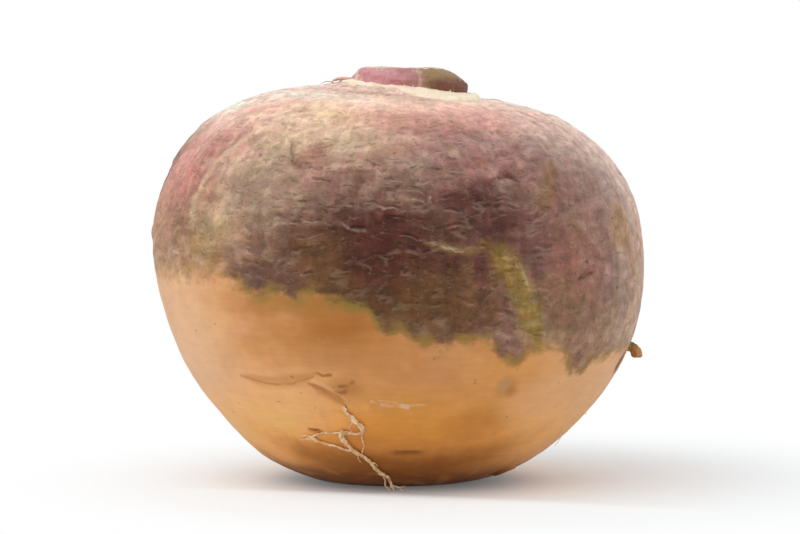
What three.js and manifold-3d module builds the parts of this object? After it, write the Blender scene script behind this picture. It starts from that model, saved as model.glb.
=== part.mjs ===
// A harvested rutabaga, standing on its small flat spot: the swollen root, the neck that is left
// where its leaves were cut off, and two side roots that dried on it.
//
// Millimetres. +Z is up, +X is to the right and -Y is the front. The origin is at the level of
// what the root stands on, under the middle of the root.

import * as THREE from 'three';
import { mergeVertices } from 'three/addons/utils/BufferGeometryUtils.js';
import Module from 'manifold-3d';

// ---- driving dimensions ----

// The root's four meridians, from the rim of the flat spot up to the foot of the peeled collar.
// Each point is [reach from the vertical axis, height]; the points of one row lie on one ring.
const ROOT_MERIDIANS = {
  right: [[17.5, 0], [25, 1.8], [35.6, 7.1], [46.2, 16.9], [53.6, 27.9], [58.4, 40],
    [60, 53], [57.8, 68.4], [51.6, 79.4], [43.2, 86.7], [34.5, 90.6], [26, 92.6], [18.4, 93.7]],
  back: [[16.5, 0], [24, 1.8], [34.5, 7.4], [44.6, 17.4], [52.4, 28.6], [57.2, 41],
    [58.5, 54], [56.9, 68], [51.8, 79.2], [43.2, 86.9], [33.5, 91.5], [24.5, 94], [16.6, 95]],
  left: [[17.5, 0], [24, 1.6], [33.9, 7.1], [43.6, 16.9], [51.7, 27.9], [57, 40.6],
    [60, 56.5], [58.9, 68.4], [54.3, 79.4], [47.7, 86.9], [38.8, 92], [29.2, 94.9], [18, 96.6]],
  front: [[16.5, 0], [24, 1.7], [34, 7.3], [44, 17.2], [51.6, 28.3], [56, 40.4],
    [57.5, 54], [56.2, 68], [51.2, 79], [42.8, 86.7], [33, 91.2], [24.3, 93.6], [16.2, 94.6]],
};
const FLAT_SPOT_MIDDLE = [0, 0, 0];

// The foot of the neck, where the peeled collar around it ends: [reach, height] on each side.
const NECK_FOOT = { right: [16.4, 95], back: [12.8, 96.9], left: [11.3, 98.4], front: [12.8, 96.8] };
const NECK_FOOT_MIDDLE = [2.6, 0, 96.7];

// The neck's meridians, from just above its foot up to the rim of the cut.
const NECK_MERIDIANS = {
  right: [[16.3, 95.3], [16.1, 96.6], [14.8, 98.2], [12.4, 99.8], [9.6, 100.8]],
  back: [[12.6, 97.2], [12.9, 98.2], [12.5, 99.3], [11.6, 100.3], [10.4, 101]],
  left: [[11.2, 98.7], [10.5, 99.3], [9.8, 99.9], [9, 100.6], [8.2, 101.2]],
  front: [[12.6, 97.1], [13, 98], [12.7, 99.1], [11.7, 100.2], [10.3, 101]],
};
const NECK_SEAT_MIDDLE = [2.6, 0, 97];
const CUT_MIDDLE = [0.8, 0, 100.8];

// The dried rootlet in front runs over the skin and down to the floor: [azimuth in degrees, height].
const ROOTLET_RADIUS = 0.55;
const ROOTLET_ON_SKIN = [[-104.6, 21], [-102.4, 19.7], [-101.1, 18.5], [-101.3, 17], [-103, 15.7],
  [-106.2, 15.6], [-108.6, 14.9], [-108.4, 13.4], [-106.4, 11.7], [-103.2, 10], [-101, 8.3],
  [-98.6, 6.3], [-95.4, 4.4]];
const ROOTLET_TIP = [[-1.3, -27.4, 1.6], [-0.5, -24.6, 0.7]];
const BRANCH_RADIUS = 0.45;
const BRANCH_ON_SKIN = [[-106.4, 11.7], [-109.7, 11.6], [-113, 12.4], [-116.8, 12.8], [-119.6, 13.9],
  [-123, 13.5]];

// The stump of a side root at the right: its middle line, in its own upright plane.
const STUMP_RADIUS = 1;
const STUMP_AZIMUTH = -3;
const STUMP_LINE = [[56.7, 32.7], [57.6, 32.9], [58.5, 32.2], [59, 31.1], [59.1, 30]];

const GAP = 0.3; // between a piece and the one that carries it

const STEPS_AROUND = 64;
const ROOT_LEVELS = 36;
const NECK_LEVELS = 6;
const TUBE_SIDES = 8;
const ROOTLET_STEPS = 44;
const BRANCH_STEPS = 14;
const STUMP_STEPS = 8;

// ---- rings and lofts ----

// One smooth curve for each side, in the half-plane of reach (x) and height (z).
function sideCurves(meridians) {
  const curves = {};
  for (const [side, points] of Object.entries(meridians)) {
    const line = points.map(([reach, height]) => new THREE.Vector3(reach, 0, height));
    curves[side] = new THREE.CatmullRomCurve3(line);
  }
  return curves;
}

// The four sides' points of the ring at a level from 0, the lowest, to 1, the highest.
function sidesAt(curves, level) {
  const sides = {};
  for (const [side, curve] of Object.entries(curves)) {
    sides[side] = curve.getPoint(level);
  }
  return sides;
}

// A value at an azimuth, blended smoothly from its values on the four sides.
function blend(right, back, left, front, azimuth) {
  const mean = (right + back + left + front) / 4;
  const alongX = (right - left) / 2;
  const alongY = (back - front) / 2;
  const oval = (right + left - back - front) / 4;
  return mean + alongX * Math.cos(azimuth) + alongY * Math.sin(azimuth) + oval * Math.cos(2 * azimuth);
}

// The point of a ring at an azimuth, pushed outwards by a swelling.
function ringPoint({ right, back, left, front }, azimuth, swelling) {
  const reach = blend(right.x, back.x, left.x, front.x, azimuth) + swelling;
  const height = blend(right.z, back.z, left.z, front.z, azimuth);
  return new THREE.Vector3(reach * Math.cos(azimuth), reach * Math.sin(azimuth), height);
}

function azimuthsAround() {
  return Array.from({ length: STEPS_AROUND }, (_, step) => (2 * Math.PI * step) / STEPS_AROUND);
}

// A closed body from rings ordered upwards and the middles of its two ends.
function loft(rings, bottomMiddle, topMiddle) {
  const around = rings[0].length;
  const points = [...rings.flat(), new THREE.Vector3(...bottomMiddle), new THREE.Vector3(...topMiddle)];
  const bottom = rings.length * around;
  const top = bottom + 1;
  const lastRing = bottom - around;
  const faces = [];
  for (let step = 0; step < around; step += 1) {
    const next = (step + 1) % around;
    faces.push(bottom, next, step);
    faces.push(top, lastRing + step, lastRing + next);
    for (let low = 0; low < lastRing; low += around) {
      const high = low + around;
      faces.push(low + step, low + next, high + next);
      faces.push(low + step, high + next, high + step);
    }
  }
  const geometry = new THREE.BufferGeometry().setFromPoints(points);
  geometry.setIndex(faces);
  geometry.computeVertexNormals();
  return geometry;
}

// ---- the swollen root ----

const rootCurves = sideCurves(ROOT_MERIDIANS);

// Low swellings between the four meridians, which fade out at the flat spot and at the neck.
function rootSwelling(azimuth, level) {
  const fade = Math.sin(Math.PI * level) ** 2;
  const broad = 0.7 * Math.sin(2 * azimuth + 0.6) * Math.sin(2 * azimuth);
  const narrow = 0.5 * Math.sin(4 * azimuth);
  return fade * (broad - narrow);
}

function skinPoint(azimuth, level) {
  return ringPoint(sidesAt(rootCurves, level), azimuth, rootSwelling(azimuth, level));
}

function swollenRoot() {
  const azimuths = azimuthsAround();
  const rings = [];
  for (let row = 0; row <= ROOT_LEVELS; row += 1) {
    rings.push(azimuths.map((azimuth) => skinPoint(azimuth, row / ROOT_LEVELS)));
  }
  const foot = {};
  for (const [side, [reach, height]] of Object.entries(NECK_FOOT)) {
    foot[side] = new THREE.Vector3(reach, 0, height);
  }
  rings.push(azimuths.map((azimuth) => ringPoint(foot, azimuth, 0)));
  return loft(rings, FLAT_SPOT_MIDDLE, NECK_FOOT_MIDDLE);
}

// ---- the cut neck ----

function cutNeck() {
  const azimuths = azimuthsAround();
  const curves = sideCurves(NECK_MERIDIANS);
  const rings = [];
  for (let row = 0; row <= NECK_LEVELS; row += 1) {
    const sides = sidesAt(curves, row / NECK_LEVELS);
    rings.push(azimuths.map((azimuth) => ringPoint(sides, azimuth, 0)));
  }
  return loft(rings, NECK_SEAT_MIDDLE, CUT_MIDDLE);
}

// ---- the dried side roots ----

// The level at which the skin reaches a height, found by halving.
function levelAt(azimuth, height) {
  let low = 0;
  let high = 1;
  for (let halving = 0; halving < 24; halving += 1) {
    const middle = (low + high) / 2;
    if (skinPoint(azimuth, middle).z < height) {
      low = middle;
    } else {
      high = middle;
    }
  }
  return (low + high) / 2;
}

// A point that stands off the skin, square to it.
function offSkin([degrees, height], distance) {
  const azimuth = THREE.MathUtils.degToRad(degrees);
  const level = levelAt(azimuth, height);
  const step = 0.002;
  const here = skinPoint(azimuth, level);
  const around = skinPoint(azimuth + step, level).sub(here);
  const upwards = skinPoint(azimuth, level + step).sub(here);
  const outwards = around.cross(upwards).normalize();
  return here.addScaledVector(outwards, distance);
}

function tube(points, radius, steps) {
  const outline = [];
  for (let side = 0; side < TUBE_SIDES; side += 1) {
    const angle = (2 * Math.PI * side) / TUBE_SIDES;
    outline.push(new THREE.Vector2(radius * Math.cos(angle), radius * Math.sin(angle)));
  }
  const extrudePath = new THREE.CatmullRomCurve3(points);
  return new THREE.ExtrudeGeometry(new THREE.Shape(outline), { steps, extrudePath });
}

const wasm = await Module();
wasm.setup();

function solid(geometry) {
  const bare = geometry.clone();
  bare.deleteAttribute('normal');
  bare.deleteAttribute('uv');
  const merged = mergeVertices(bare, 1e-4);
  const vertProperties = new Float32Array(merged.attributes.position.array);
  const triVerts = new Uint32Array(merged.index.array);
  return new wasm.Manifold(new wasm.Mesh({ numProp: 3, vertProperties, triVerts }));
}

function joined(geometryA, geometryB) {
  const mesh = solid(geometryA).add(solid(geometryB)).getMesh();
  const geometry = new THREE.BufferGeometry();
  geometry.setAttribute('position', new THREE.BufferAttribute(mesh.vertProperties, 3));
  geometry.setIndex(new THREE.BufferAttribute(mesh.triVerts, 1));
  geometry.computeVertexNormals();
  return geometry;
}

function frontRootlet() {
  const distance = ROOTLET_RADIUS + 1.5 * GAP;
  const line = ROOTLET_ON_SKIN.map((place) => offSkin(place, distance));
  line.push(...ROOTLET_TIP.map((place) => new THREE.Vector3(...place)));
  const branchLine = BRANCH_ON_SKIN.map((place) => offSkin(place, distance));
  const strand = tube(line, ROOTLET_RADIUS, ROOTLET_STEPS);
  const branch = tube(branchLine, BRANCH_RADIUS, BRANCH_STEPS);
  return joined(strand, branch);
}

function sideRootStump() {
  const azimuth = THREE.MathUtils.degToRad(STUMP_AZIMUTH);
  const line = STUMP_LINE.map(([reach, height]) => (
    new THREE.Vector3(reach * Math.cos(azimuth), reach * Math.sin(azimuth), height)));
  return tube(line, STUMP_RADIUS, STUMP_STEPS);
}

// ---- the rutabaga ----

function piece(name, geometry, color, roughness) {
  const material = new THREE.MeshStandardMaterial({ color, roughness, metalness: 0 });
  const mesh = new THREE.Mesh(geometry, material);
  mesh.name = name;
  return mesh;
}

const rutabaga = new THREE.Group();
rutabaga.add(piece('swollen_root', swollenRoot(), 0xb57f5c, 0.5));
rutabaga.add(piece('cut_neck', cutNeck(), 0xb06a74, 0.6));
rutabaga.add(piece('front_rootlet', frontRootlet(), 0xe0bd90, 0.75));
rutabaga.add(piece('side_root_stump', sideRootStump(), 0xb67f3c, 0.75));

export default rutabaga;
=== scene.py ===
# %% [markdown]
# # A rutabaga standing on its flat spot
# The frame is the packed model. It holds four solids at their real size: the swollen root, the cut
# neck, a dried rootlet in front and the stump of a side root. They have the right size and place,
# and plain faces. Each one is replaced below by a piece that follows it closely and has the look of
# the real thing.

# %% Load the frame
import itertools
import math

import bpy
import numpy as np
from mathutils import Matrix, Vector
from mathutils.bvhtree import BVHTree


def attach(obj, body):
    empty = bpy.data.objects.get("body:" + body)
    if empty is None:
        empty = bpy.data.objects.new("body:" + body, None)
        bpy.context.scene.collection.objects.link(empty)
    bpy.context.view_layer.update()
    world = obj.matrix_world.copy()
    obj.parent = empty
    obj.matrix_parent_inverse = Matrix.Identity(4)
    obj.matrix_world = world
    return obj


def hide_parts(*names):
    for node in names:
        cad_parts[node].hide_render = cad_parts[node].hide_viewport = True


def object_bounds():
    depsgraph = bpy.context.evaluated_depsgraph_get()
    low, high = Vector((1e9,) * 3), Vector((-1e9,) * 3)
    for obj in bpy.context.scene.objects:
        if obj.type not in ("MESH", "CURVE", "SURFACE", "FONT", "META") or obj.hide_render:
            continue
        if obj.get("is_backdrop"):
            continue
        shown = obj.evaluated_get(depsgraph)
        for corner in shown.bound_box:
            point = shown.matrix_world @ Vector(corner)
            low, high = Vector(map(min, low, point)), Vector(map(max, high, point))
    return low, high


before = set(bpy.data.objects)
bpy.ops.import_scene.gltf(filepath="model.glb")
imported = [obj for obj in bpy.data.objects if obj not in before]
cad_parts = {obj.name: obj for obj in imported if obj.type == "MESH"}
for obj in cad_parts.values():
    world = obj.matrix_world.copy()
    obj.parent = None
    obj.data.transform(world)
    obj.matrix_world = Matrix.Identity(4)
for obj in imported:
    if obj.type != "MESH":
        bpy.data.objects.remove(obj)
cad_low, cad_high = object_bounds()
print("solids:", sorted(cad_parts), "size", [round(side, 4) for side in cad_high - cad_low])

# %% [markdown]
# ## Where the viewer stands
# A root is best met at its own height, so the eye is level with the neck's cut. A long lens from
# several widths away keeps the outline round instead of bulging towards the viewer.

# %% Camera
WIDTH = cad_high.x - cad_low.x
HEIGHT = cad_high.z - cad_low.z
EYE_DISTANCE = 6.667 * WIDTH
EYE_HEIGHT = 0.939 * HEIGHT
AIM_HEIGHT = 0.516 * HEIGHT
AIM_RIGHT = 0.005 * WIDTH
LENS_MM = 147.1
SENSOR_MM = 36

eye = bpy.data.cameras.new("eye")
eye.lens = LENS_MM
eye.sensor_width = SENSOR_MM
eye_object = bpy.data.objects.new("eye", eye)
bpy.context.scene.collection.objects.link(eye_object)
eye_object.location = (AIM_RIGHT, -EYE_DISTANCE, EYE_HEIGHT)
aim = Vector((AIM_RIGHT, 0, AIM_HEIGHT))
eye_object.rotation_mode = "QUATERNION"
eye_object.rotation_quaternion = (aim - eye_object.location).to_track_quat("-Z", "Y")
bpy.context.scene.camera = eye_object
bpy.context.scene.view_settings.view_transform = "Standard"
print("eye at", [round(value, 3) for value in eye_object.location])

# %% [markdown]
# ## The table and the light
# The root stands on plain white card that sweeps away into white. The card is a matt surface, so it
# takes the root's soft shadow and throws light back under its belly. Further away, only what the
# eye sees straight on turns into pure white.
#
# Every finish in this lesson is a net of nodes. Written out in full, each node takes several lines,
# so `Net` gives a shorter way: each call adds one node, and an input is either a plain value or
# another node's output.

# %% A net of nodes
class Net:
    """The nodes of a material or a world, added one call at a time."""

    def __init__(self, owner):
        owner.use_nodes = True
        self.tree = owner.node_tree
        self.tree.nodes.clear()

    def node(self, kind, inputs=None, **settings):
        """Adds a node, sets what it needs and links or fills its inputs."""
        made = self.tree.nodes.new("ShaderNode" + kind)
        for name, value in settings.items():
            setattr(made, name, value)
        for socket, value in (inputs or {}).items():
            if isinstance(value, bpy.types.NodeSocket):
                self.tree.links.new(value, made.inputs[socket])
            else:
                made.inputs[socket].default_value = value
        return made

    def math(self, operation, first, second=0.0, third=0.0):
        """One sum on numbers."""
        return self.node("Math", {0: first, 1: second, 2: third}, operation=operation).outputs[0]

    def times(self, first, second):
        """Two numbers multiplied."""
        return self.math("MULTIPLY", first, second)

    def scaled(self, value, by, plus):
        """A number multiplied by a second one, with a third added."""
        return self.math("MULTIPLY_ADD", value, by, plus)

    def climb(self, value, low, high, start=0.0, end=1.0):
        """A smooth climb from start to end while the value goes from low to high, flat beyond."""
        inputs = {"Value": value, "From Min": low, "From Max": high, "To Min": start, "To Max": end}
        return self.node("MapRange", inputs, interpolation_type="SMOOTHSTEP", clamp=False).outputs["Result"]

    def mix(self, cover, under, over, how="MIX"):
        """One colour over another."""
        inputs = {"Factor": cover, "A": under, "B": over}
        made = self.node("Mix", data_type="RGBA", blend_type=how)
        for name, value in inputs.items():
            kind = "VALUE" if name == "Factor" else "RGBA"
            socket = next(one for one in made.inputs if one.name == name and one.type == kind)
            if isinstance(value, bpy.types.NodeSocket):
                self.tree.links.new(value, socket)
            else:
                socket.default_value = value if name == "Factor" else (*value, 1)
        return next(one for one in made.outputs if one.type == "RGBA")

    def stretched(self, place, x, y, z):
        """The place with its three lengths multiplied."""
        return self.node("VectorMath", {0: place, 1: (x, y, z)}, operation="MULTIPLY").outputs[0]

    def moved(self, place, by):
        """The place moved by a vector."""
        return self.node("VectorMath", {0: place, 1: by}, operation="ADD").outputs[0]

    def parts(self, vector):
        """The three numbers of a vector."""
        return self.node("SeparateXYZ", {0: vector}).outputs

    def kept(self, name, output="Vector"):
        """What the points of the mesh keep under a name."""
        return self.node("Attribute", attribute_name=name).outputs[output]

    def noise(self, place, scale=1.0, detail=3.0, roughness=0.55):
        """Random hills from 0 to 1."""
        inputs = {"Vector": place, "Scale": scale, "Detail": detail, "Roughness": roughness}
        return self.node("TexNoise", inputs).outputs[0]

    def pushes(self, place, scale, detail):
        """Three random numbers from 0 to 1 at each place."""
        inputs = {"Vector": place, "Scale": scale, "Detail": detail}
        return self.node("TexNoise", inputs).outputs["Color"]

    def toned(self, colour, tone):
        """The colour made lighter or darker by a factor."""
        return self.node("HueSaturation", {"Color": colour, "Value": tone}).outputs[0]

    def skin(self, colour, roughness, height, strength=1.0, distance=0.001, shine=0.25):
        """A skin with a bump from heights, in units of the distance, and a faint shine."""
        bump = self.node("Bump", {"Strength": strength, "Distance": distance, "Height": height})
        inputs = {"Base Color": colour, "Roughness": roughness, "Normal": bump.outputs[0]}
        shader = self.node("BsdfPrincipled", inputs)
        shader.inputs["Specular IOR Level"].default_value = shine
        return shader

    def finish(self, kind, shader):
        """Ends the net in its output node."""
        self.node("Output" + kind, {"Surface": shader})


print("a net knows:", [name for name in vars(Net) if name[0] != "_"])

# %% [markdown]
# The card itself is one large square. Close to the root it is a matt surface that shows the shadow,
# and further out it fades into plain white for the eye alone. Near the root the eye also sees some
# white mixed in, a little everywhere and most in front: painted light that makes the shadow paler.

# %% Floor
CARD_SEEN = (0.945, 0.98, 1.0, 1)
CARD_BOUNCE = 0.80
SHADOW_MIDDLE = (0.22 * WIDTH, 0, 0)
SHADOW_FADES = (0.30 * WIDTH, 1.1 * WIDTH)
SHADOW_LIGHTER = 0.10
TO_THE_FRONT = (-0.35, -1.0, 0)
FRONT_FADES = (0.21 * WIDTH, 0.33 * WIDTH)
FRONT_LIGHTER = 0.6
FLOOR_REACH = 6.0

corners = [(x * FLOOR_REACH, y * FLOOR_REACH, 0) for x, y in ((-1, -1), (1, -1), (1, 1), (-1, 1))]
floor_mesh = bpy.data.meshes.new("floor")
floor_mesh.from_pydata(corners, [], [(0, 1, 2, 3)])
floor = bpy.data.objects.new("floor", floor_mesh)
bpy.context.scene.collection.objects.link(floor)
floor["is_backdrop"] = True

card = bpy.data.materials.new("white_card")
net = Net(card)
seen = net.node("BsdfDiffuse", {"Color": CARD_SEEN}).outputs[0]
bounce = net.node("BsdfDiffuse", {"Color": (CARD_BOUNCE, CARD_BOUNCE, CARD_BOUNCE, 1)}).outputs[0]
white = net.node("Emission", {"Strength": 1.0}).outputs[0]
place = net.node("TexCoord").outputs["Object"]
away = net.node("VectorMath", {0: place, 1: SHADOW_MIDDLE}, operation="DISTANCE").outputs["Value"]
in_front = net.node("VectorMath", {0: place, 1: TO_THE_FRONT}, operation="DOT_PRODUCT").outputs["Value"]
# painted light: white mixed in for the eye near the root, most in front, so the shadow looks paler
faded = net.climb(in_front, *FRONT_FADES, 0.0, FRONT_LIGHTER)
faded = net.math("MAXIMUM", faded, net.climb(away, *SHADOW_FADES, SHADOW_LIGHTER, 1.0))
sweep = net.node("MixShader", {0: faded, 1: seen, 2: white}).outputs[0]
straight = net.node("LightPath").outputs["Is Camera Ray"]
net.finish("Material", net.node("MixShader", {0: straight, 1: bounce, 2: sweep}).outputs[0])
floor_mesh.materials.append(card)
print("floor reaches", FLOOR_REACH, "m each way")

# %% [markdown]
# The light comes from a white tent all round, as a product is lit in a studio: it has no direction,
# so the colours show as they are. The wall behind the eye is a little dimmer, which lets the sides
# of the root shine and gives its front some depth.

# %% Tent of light
WHITE = (1, 1, 1, 1)
TENT_SIDES = 0.85
TENT_FRONT = 0.76
FRONT_CORE, FRONT_RIM = -0.95, -0.1

tent = bpy.data.worlds.new("white_tent")
bpy.context.scene.world = tent
net = Net(tent)
outlook = net.node("TexCoord").outputs["Generated"]
to_the_back = net.node("SeparateXYZ", {0: outlook}).outputs["Y"]
walls = net.climb(to_the_back, FRONT_CORE, FRONT_RIM, TENT_FRONT, TENT_SIDES)
walls = net.node("Background", {"Color": WHITE, "Strength": walls}).outputs[0]
backdrop = net.node("Background", {"Color": WHITE, "Strength": 1.0}).outputs[0]
straight = net.node("LightPath").outputs["Is Camera Ray"]
net.finish("World", net.node("MixShader", {0: straight, 1: walls, 2: backdrop}).outputs[0])
print("tent strength", TENT_FRONT, "in front,", TENT_SIDES, "at the sides")

# %% [markdown]
# One large lamp stands high on the left. It is weak beside the tent, and only gives the wrinkles a
# lit side and a shaded side.

# %% Soft box
BOX_WIDE, BOX_TALL = 0.9, 0.7
BOX_WATTS = 2.0
BOX_PLACE = (-0.35, -0.45, 0.70)

lamp = bpy.data.lights.new("soft_box", "AREA")
lamp.shape = "RECTANGLE"
lamp.size = BOX_WIDE
lamp.size_y = BOX_TALL
lamp.energy = BOX_WATTS
soft_box = bpy.data.objects.new("soft_box", lamp)
bpy.context.scene.collection.objects.link(soft_box)
soft_box.location = BOX_PLACE
soft_box.rotation_mode = "QUATERNION"
to_the_root = Vector((0, 0, HEIGHT / 2)) - soft_box.location
soft_box.rotation_quaternion = to_the_root.to_track_quat("-Z", "Y")
print("soft box of", BOX_WATTS, "W,", round(to_the_root.length, 2), "m away")

# %% [markdown]
# ## The swollen root: a ball of six patches
# A root has no seam and no grid of its own. A globe of longitudes and latitudes would crowd its
# faces at the two poles, just where the crown and the flat spot need an even skin. A cube blown up
# to a ball has faces of nearly one size everywhere, and its six square patches later lie side by
# side as a tidy map.

# %% A cube blown up to a ball
PATCH_STEPS = 128
CENTRE = Vector((0, 0, 0.5 * HEIGHT))


def cube_ball(steps):
    """A ball's unit directions, its quads, and each quad corner's place on a sheet of six squares."""
    lattice = np.arange(steps + 1)
    first, second = np.meshgrid(lattice, lattice, indexing="ij")
    index = np.arange((steps + 1) ** 2).reshape(steps + 1, steps + 1)
    corners = [index[:-1, :-1], index[1:, :-1], index[1:, 1:], index[:-1, 1:]]
    square = np.stack(corners, -1).reshape(-1, 4)
    places = np.stack([first, second], -1).reshape(-1, 2) / steps
    points, quads, sheet = [], [], []
    for axis in range(3):
        for side in (0, 1):
            wall = np.empty((steps + 1, steps + 1, 3), int)
            wall[..., axis] = side * steps
            wall[..., (axis + 1) % 3] = first
            wall[..., (axis + 2) % 3] = second
            face = square if side else square[:, ::-1]
            quads.append(face + len(points) * (steps + 1) ** 2)
            sheet.append((np.array([axis, side]) + 0.01 + 0.98 * places[face]) / (3, 2))
            points.append(wall.reshape(-1, 3))
    unique, inverse = np.unique(np.concatenate(points), axis=0, return_inverse=True)
    along = np.tan((unique / steps * 2 - 1) * math.pi / 4)
    directions = along / np.linalg.norm(along, axis=1, keepdims=True)
    return directions, inverse.reshape(-1)[np.concatenate(quads)], np.concatenate(sheet)


directions, root_quads, root_sheet = cube_ball(PATCH_STEPS)
print("ball:", len(directions), "points,", 2 * len(root_quads), "triangles")

# %% [markdown]
# Each point of the ball then slides outwards until it meets the packed solid. The solid has flat
# facets, so the skin is relaxed a little: every point moves towards the middle of its neighbours,
# which melts the facets and keeps the shape. Work goes on in millimetres from here, because a
# grower would say that a wrinkle is a quarter of a millimetre deep.

# %% Fit the ball to the solid
MM = 0.001
MELTING_ROUNDS = 40

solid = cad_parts["swollen_root"].data
solid_tree = BVHTree.FromPolygons([v.co for v in solid.vertices], [p.vertices for p in solid.polygons])
reach = np.array([solid_tree.ray_cast(CENTRE, Vector(direction))[3] for direction in directions])
skin = (np.array(CENTRE) + directions * reach[:, None]) / MM
print("solid is met", (reach.min() / MM).round(1), "to", (reach.max() / MM).round(1), "mm out")

# %% Melt the facets
def relaxed(points, quads, rounds):
    """The points after some rounds of moving each one half way to the middle of its neighbours."""
    edges = np.concatenate([quads[:, [side, (side + 1) % 4]] for side in range(4)])
    edges = np.unique(np.sort(edges, axis=1), axis=0)
    count = np.bincount(edges.ravel(), minlength=len(points))[:, None]
    for _ in range(rounds):
        total = np.zeros_like(points)
        for axis in range(3):
            total[:, axis] = np.bincount(edges[:, 0], points[edges[:, 1], axis], len(points))
            total[:, axis] += np.bincount(edges[:, 1], points[edges[:, 0], axis], len(points))
        points = 0.5 * (points + total / count)
    return points


def normals_of(points, quads):
    """Unit normals of the points of a quad mesh."""
    across = points[quads[:, 2]] - points[quads[:, 0]]
    faces = np.cross(across, points[quads[:, 3]] - points[quads[:, 1]])
    total = np.stack([np.bincount(quads.ravel(), np.repeat(faces[:, axis], 4)) for axis in range(3)], -1)
    return total / np.linalg.norm(total, axis=1, keepdims=True)


skin = relaxed(skin, root_quads, MELTING_ROUNDS)
outward = normals_of(skin, root_quads)
print("relaxed skin spans", skin.min(0).round(1), "to", skin.max(0).round(1), "mm")

# %% [markdown]
# ## Finding places on the skin
# Marks on a root are easiest to place as on a globe: a longitude that is 0 in front and grows to
# the right, and a latitude that is 0 half way up. `patch` gives an oval and `line` a stroke through
# several places. Both return a number from 0 to 1 for every point, with an uneven edge, because
# nothing that grew has a ruled border.

# %% Longitude, latitude and growth
middle = np.array(CENTRE) / MM
bearing = skin - middle
bearing /= np.linalg.norm(bearing, axis=1, keepdims=True)
longitude = np.degrees(np.arctan2(bearing[:, 0], -bearing[:, 1]))
latitude = np.degrees(np.arcsin(bearing[:, 2]))
GIRTH = 58
around = np.radians(longitude)
growth = np.stack([GIRTH * np.sin(around), -GIRTH * np.cos(around), GIRTH * np.radians(latitude)], -1)
print("latitudes run from", latitude.min().round(1), "to", latitude.max().round(1))

# %% [markdown]
# Nothing on a root is even, so nearly every mark below is shaken by noise: smooth random hills of a
# chosen size. It is made from slopes on a lattice of cells, which gives the same hills on every run
# because each use has a seed of its own. It is measured along `growth`, which unrolls the root from
# pole to pole, so that hills can lie along the girth or stand upright as fibres do.

# %% Noise
def eased(value):
    """0 below 0, 1 above 1, and a smooth climb between."""
    value = np.clip(value, 0, 1)
    return value * value * (3 - 2 * value)


def noise(points, lump, seed):
    """Smooth random hills between about -1 and 1, a lump apart. The same seed gives the same hills."""
    random = np.random.default_rng(seed)
    table = random.permutation(256)
    slopes = random.normal(size=(256, 3))
    slopes /= np.linalg.norm(slopes, axis=1, keepdims=True)
    place = points / np.array(lump)
    cell = np.floor(place).astype(int)
    inside = place - cell
    ease = inside ** 3 * (inside * (inside * 6 - 15) + 10)
    total = np.zeros(len(points))
    for corner in itertools.product((0, 1), repeat=3):
        x, y, z = ((cell + corner) & 255).T
        slope = slopes[table[(table[(table[x] + y) & 255] + z) & 255]]
        weight = np.prod(np.where(corner, ease, 1 - ease), axis=1)
        total += weight * np.einsum("ij,ij->i", slope, inside - corner)
    return 1.7 * total


ragged_edge = 0.35 * noise(skin, 7, 11) + 0.25 * noise(skin, 2.6, 12)
ragged_edge += 0.25 * noise(growth, (2.4, 2.4, 9), 13) + 0.25 * noise(growth, (7, 7, 1.8), 14)
print("edges are shaken by up to", np.abs(ragged_edge).max().round(2), "of a mark's size")

# %% Patches and lines
def direction(east, north):
    """The unit direction of a longitude and a latitude in degrees."""
    east, north = math.radians(east), math.radians(north)
    return np.array([math.sin(east) * math.cos(north), -math.cos(east) * math.cos(north), math.sin(north)])


def place_on_skin(east, north):
    """The skin's point in that direction, in millimetres."""
    return skin[np.argmax(bearing @ direction(east, north))]


def patch(east, north, across, tall, tilt=0, soft=0.5, ragged=0.35):
    """An oval on the skin, its half sizes in millimetres, tilted in degrees."""
    out = direction(east, north)
    right = np.array([math.cos(math.radians(east)), math.sin(math.radians(east)), 0])
    up = np.cross(out, right)
    turn = math.radians(tilt)
    stop = place_on_skin(east, north)
    reach = (1 + soft + ragged) * max(across, tall)
    near = np.flatnonzero(np.abs(skin - stop).max(axis=1) < reach)
    offset = skin[near] - stop
    first = offset @ (math.cos(turn) * right + math.sin(turn) * up) / across
    second = offset @ (math.cos(turn) * up - math.sin(turn) * right) / tall
    far = np.hypot(first, second) + ragged * ragged_edge[near]
    cover = np.zeros(len(skin))
    cover[near] = eased((1 + soft - far) / (2 * soft)) * (bearing[near] @ out > 0)
    return cover


def line(places, half_width, soft=0.5, ragged=0.25):
    """A stroke through places on the skin that thins out at its two ends."""
    stops = np.array([place_on_skin(*place) for place in places])
    lengths = np.linalg.norm(np.diff(stops, axis=0), axis=1)
    begun = np.concatenate([[0], np.cumsum(lengths)])
    margin = (1 + soft + ragged) * half_width
    inside = (skin > stops.min(0) - margin) & (skin < stops.max(0) + margin)
    near = np.flatnonzero(inside.all(axis=1))
    nearest = np.full(len(near), np.inf)
    progress = np.zeros(len(near))
    for start, end, length, before in zip(stops, stops[1:], lengths, begun):
        along = np.clip((skin[near] - start) @ (end - start) / length ** 2, 0, 1)
        far = np.linalg.norm(skin[near] - start - along[:, None] * (end - start), axis=1)
        closer = far < nearest
        nearest[closer] = far[closer]
        progress[closer] = ((before + along * length) / begun[-1])[closer]
    thin = 0.25 + 0.75 * eased(np.minimum(progress, 1 - progress) * 4)
    far = nearest / (half_width * thin) + ragged * ragged_edge[near]
    cover = np.zeros(len(skin))
    cover[near] = eased((1 + soft - far) / (2 * soft))
    return cover


print("front of the girth at", place_on_skin(0, 0).round(1), "mm")

# %% [markdown]
# ## Relief: wrinkles, cracks and ridges
# The purple top of a rutabaga grows above the ground, where sun and wind make its skin corky and
# crinkled. The orange belly stays in the soil and stays smooth. So the fine relief follows a map of
# how corky the skin is, and the border between the two colours comes first.

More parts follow.
